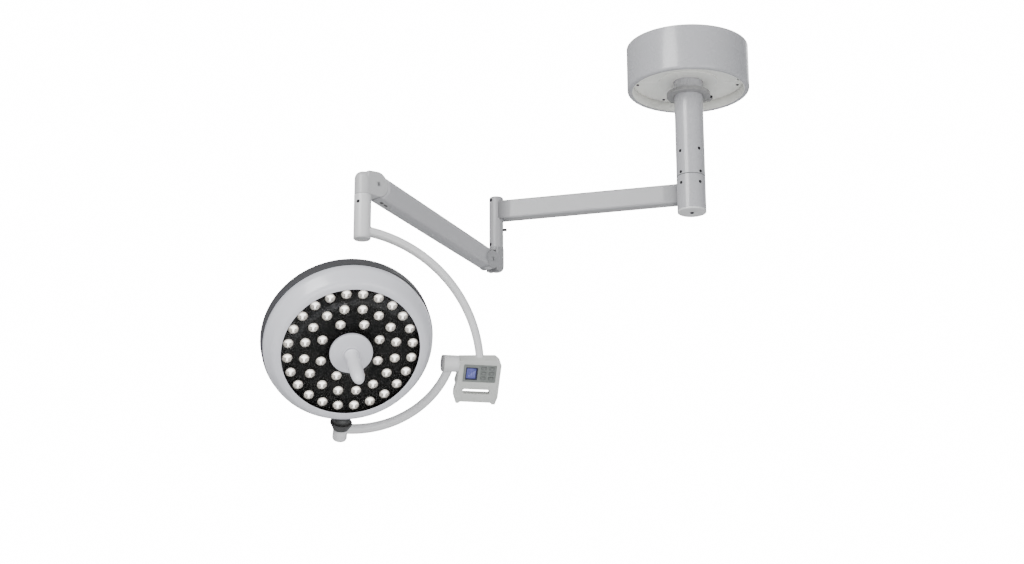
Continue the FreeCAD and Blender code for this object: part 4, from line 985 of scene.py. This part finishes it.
def build_tilt_joint():
    lathe("tilt_drum_skin",
          [(10.05, 243.6), (24.5, 243.6, 0.5), (24.5, 283.0, 1.0), (10.05, 283.0)],
          DRUM, "sleeve_paint", "cross_arm", 80, replaces="tilt_drum")
    lathe("drum_cap_skin",
          [(0, 238.6), (8.0, 238.6, 0.4), (9.0, 237.5, 0.4), (21.6, 237.5, 0.8),
           (24.5, 239.6, 1.2), (24.5, 243.4, 0.3), (0, 243.4)],
          DRUM, "collar_plastic", "cross_arm", 80, slot="dark_plastic",
          replaces="drum_end_cap")
    lathe("drum_spacer_ring",
          [(10.6, 283.3), (24.3, 283.3, 0.6), (24.3, 286.97, 0.3), (10.6, 286.97)],
          DRUM, "sleeve_paint", "yoke", 80)
    lathe("pivot_cone_skin",
          [(9.05, -209.0), (32.4, -209.0, 0.8), (32.4, -213.2, 1.2), (31.0, -215.6, 0.8),
           (23.3, -230.8, 1.0), (22.6, -231.9, 0.4), (9.05, -231.9)],
          CONE, "dark_plastic", "cross_arm", 80, replaces="pivot_cone")
    lathe("socket_seam_ring",
          [(21.2, -232.5), (22.3, -232.5, 0.4), (22.3, -235.4, 0.4), (21.2, -235.4)],
          CONE, "sleeve_paint", "cross_arm", 72, smooth=40)


# ------------------------------------------------------------------ control box
LEFT, RIGHT = 287.0, 411.0
TOP, BOTTOM = 18.0, -116.0
HALF_DEPTH = 21.5
FACE = -HALF_DEPTH              # y of the front face
KEY_PITCH_X, KEY_PITCH_Z = 23.5, 15.5
KEY_CENTRES = [(LEFT + 74 + KEY_PITCH_X * column, -3.0 - KEY_PITCH_Z * row)
               for column in (0, 1) for row in (0, 1, 2)]


def box_part(name, outline, start, end, look, body="yoke", **finish):
    prism(name, outline, start, end, BOX, look, body, smooth=32, **finish)


def build_box_covers():
    # (x, z, corner radius)
    face = [(LEFT, TOP, 5), (RIGHT - 14, TOP + 6, 6), (RIGHT, TOP - 6, 6),
            (RIGHT, BOTTOM + 24, 16), (RIGHT - 6, BOTTOM, 3.2), (RIGHT - 16, BOTTOM, 3.2),
            (RIGHT - 20, BOTTOM + 5, 4), (LEFT + 14, BOTTOM + 5, 4), (LEFT + 10, BOTTOM, 3.2),
            (LEFT + 2, BOTTOM, 3.2), (LEFT - 6, BOTTOM + 20, 8), (LEFT - 7, -80, 8),
            (LEFT, -40, 20)]
    slot_hole = [(LEFT + 14, -78, 2), (LEFT + 22, -70, 3), (RIGHT - 26, -70, 2.5),
                 (RIGHT - 26, -85, 2.5), (LEFT + 22, -85, 3)]
    display_hole = rectangle(LEFT + 14, RIGHT - 13, -47.0, 9.0, radius=3)
    box_part("box_front_skin", face, FACE, 0.0, "box_plastic", holes=(slot_hole, display_hole),
             bevel=1.5, replaces="box_front_cover")
    back = [(LEFT, TOP, 5), (RIGHT - 14, TOP + 6, 6), (RIGHT, TOP - 6, 6), (RIGHT, -68, 9),
            (LEFT - 4.9, -68, 9), (LEFT, -40, 20)]
    box_part("box_rear_skin", back, 0.5, HALF_DEPTH, "box_plastic", bevel=3.0,
             replaces="box_rear_cover")
    gap = [(LEFT + 1.4, TOP - 1.4, 6), (RIGHT - 20, TOP - 1.4, 6), (RIGHT - 1.4, TOP - 20, 6),
           (RIGHT - 1.4, -64, 8), (LEFT + 1.4, -64, 8)]
    box_part("box_parting_gap", gap, -0.2, 0.8, "dark_plastic")


def build_display():
    holes = [centred(x, z, 7.9, 4.9, radius=2.6) for x, z in KEY_CENTRES]
    holes.append(rectangle(LEFT + 21.6, LEFT + 56.4, -40.6, -1.4, radius=1.5))
    box_part("display_plate", rectangle(LEFT + 14.1, RIGHT - 13.1, -46.9, 8.9, radius=2.6),
             FACE + 2.2, FACE + 3.6, "display_grey", holes=holes, bevel=0.3,
             replaces="display_panel")
    box_part("display_backing", rectangle(LEFT + 12.5, RIGHT - 12, -48, 10),
             FACE + 6.6, FACE + 7.4, "dark_plastic")
    # dark frame round the LCD; its wider bands right of and below the screen are painted shadow
    box_part("lcd_frame_and_painted_shadow", rectangle(LEFT + 21.8, LEFT + 56.2, -40.4, -1.6, radius=1.4),
             FACE + 1.7, FACE + 4.4, "lcd_frame_and_painted_shadow", bevel=0.3, slot="display_grey",
             replaces="display_glass")
    box_part("lcd_screen", rectangle(LEFT + 24, LEFT + 51.4, -35.5, -4.2, radius=0.8),
             FACE + 1.5, FACE + 1.9, "lcd_screen", slot="lcd")
    # five bars rising to the right
    bar_width, bar_pitch, bar_foot = 2.2, 4.2, -31.5
    mesh = bmesh.new()
    for k in range(5):
        x = LEFT + 30.0 + bar_pitch * k
        extrude(mesh, rectangle(x, x + bar_width, bar_foot, bar_foot + 7.0 + 3.6 * k),
                FACE + 1.25, FACE + 1.6)
    piece("lcd_level_bars", mesh, BOX, "lcd_bars", "yoke", smooth=32, slot="lcd")


def build_keys():
    for i, (x, z) in enumerate(KEY_CENTRES):
        key = "key_%d" % (i + 1)
        box_part(key + "_cap", centred(x, z, 7.4, 4.4, radius=2.3), FACE - 0.35, FACE + 4.4,
                 "key_rubber", key, bevel=0.8, replaces=key)
        # down each column: a triangle up, a triangle down, a ring
        holes = ()
        if i % 3 == 0:
            mark = [(x - 2.6, z - 1.6), (x + 2.6, z - 1.6), (x, z + 2.2)]
        elif i % 3 == 1:
            mark = [(x - 2.6, z + 1.6), (x, z - 2.2), (x + 2.6, z + 1.6)]
        else:
            mark = arc(0, 345, 2.6, 23, (x, z))
            holes = (arc(0, 345, 1.6, 23, (x, z)),)
        box_part(key + "_mark", mark, FACE - 0.62, FACE - 0.25, "display_grey", key,
                 holes=holes, slot="ivory_plastic")


def build_box_screws():
    spots = ((LEFT + 9, TOP - 9), (RIGHT - 24, TOP - 9), (RIGHT - 9, -55), (LEFT + 9, -55))
    lathe("box_screw_heads",
          [(0, 1.4), (0, 0.2), (3.2, 0.2), (3.2, 0.9, 0.3), (2.2, 1.7, 0.3), (1.1, 1.7),
           (1.1, 0.9), (0, 0.9)],
          BOX, "screw_black", "yoke", 24,
          places=[move(x, HALF_DEPTH - 0.2, z) @ turn_x(-90) for x, z in spots])


# ------------------------------------------------------------------ camera, light, floor (metres)
def add_camera():
    pitch, roll = 0.3029362769, -0.0038055879       # radians
    data = bpy.data.cameras.new("camera")
    data.sensor_width = 36.0
    data.lens = 74.832890625
    data.clip_end = 100
    camera = bpy.data.objects.new("camera", data)
    bpy.context.scene.collection.objects.link(camera)
    right = Vector((1, 0, 0))
    forward = Vector((0, math.cos(pitch), math.sin(pitch)))
    up = right.cross(forward)
    rolled_right = right * math.cos(roll) + up * math.sin(roll)
    rolled_up = -right * math.sin(roll) + up * math.cos(roll)
    placement = Matrix((rolled_right, rolled_up, -forward)).transposed().to_4x4()
    placement.translation = Vector((-0.55213, -6.15859, -2.69200))
    camera.matrix_world = placement
    bpy.context.scene.camera = camera


def add_lights():
    target = Vector((-0.6, -0.1, -0.7))
    # name, position, diameter, watts
    lights = (("key", (-3.2, -4.2, 1.6), 2.6, 210),
              ("fill", (2.6, -4.6, -1.6), 3.2, 90),
              ("low_front", (-0.9, -4.0, -2.6), 2.6, 70),
              ("rim", (0.8, 3.0, 1.4), 2.4, 34))
    for name, position, size, power in lights:
        data = bpy.data.lights.new(name, "AREA")
        data.shape = "DISK"
        data.size = size
        data.energy = power
        light = bpy.data.objects.new(name, data)
        bpy.context.scene.collection.objects.link(light)
        light.location = position
        aim = target - Vector(position)
        light.rotation_euler = aim.to_track_quat("-Z", "Y").to_euler()


def add_world():
    """Soft grey light on the lamp, with plain white behind it for the camera."""
    world = bpy.data.worlds.new("studio")
    bpy.context.scene.world = world
    world.use_nodes = True
    tree = world.node_tree
    ambient = tree.nodes["Background"]
    fill(tree, ambient, {"Color": (0.80, 0.82, 0.84, 1), "Strength": 0.62})
    ray = add_node(tree, "LightPath")
    backdrop = add_node(tree, "Background", {"Color": (1, 1, 1, 1), "Strength": 16.0})
    mix = add_node(tree, "MixShader", {0: ray.outputs["Is Camera Ray"],
                                       1: ambient.outputs["Background"],
                                       2: backdrop.outputs["Background"]})
    fill(tree, tree.nodes["World Output"], {"Surface": mix.outputs["Shader"]})


def add_floor():
    mesh = bmesh.new()
    bmesh.ops.create_grid(mesh, x_segments=24, y_segments=24, size=9.0)
    data = bpy.data.meshes.new("floor")
    mesh.to_mesh(data)
    mesh.free()
    floor = bpy.data.objects.new("floor", data)
    floor.location = (-0.5, 0, -2.95)
    bpy.context.scene.collection.objects.link(floor)
    material = plastic("floor_pale", (0.84, 0.845, 0.85), rough=0.7, grain=0.05,
                       grain_scale=60, drift=0.02)
    # the floor glows for camera rays only
    tree = material.node_tree
    ray = add_node(tree, "LightPath")
    glow = add_node(tree, "Math", {0: ray.outputs["Is Camera Ray"], 1: 1.7},
                    operation="MULTIPLY")
    fill(tree, tree.nodes["Principled BSDF"],
         {"Emission Color": (0.95, 0.965, 0.98, 1), "Emission Strength": glow.outputs[0]})
    use_material(floor, material)


dress_cad()
build_head_shells()
build_rear_cover_details()
build_leds()
build_head_centre()
build_ceiling_mount()
build_tube_screws()
build_hub_and_post()
build_extension_beam()
build_brake_screw()
build_spring_arm()
build_adjuster()
build_pivots()
build_castings()
build_yoke_sleeve()
build_bow_weld()
build_tilt_joint()
build_box_covers()
build_display()
build_keys()
build_box_screws()
add_camera()
add_lights()
add_world()
add_floor()
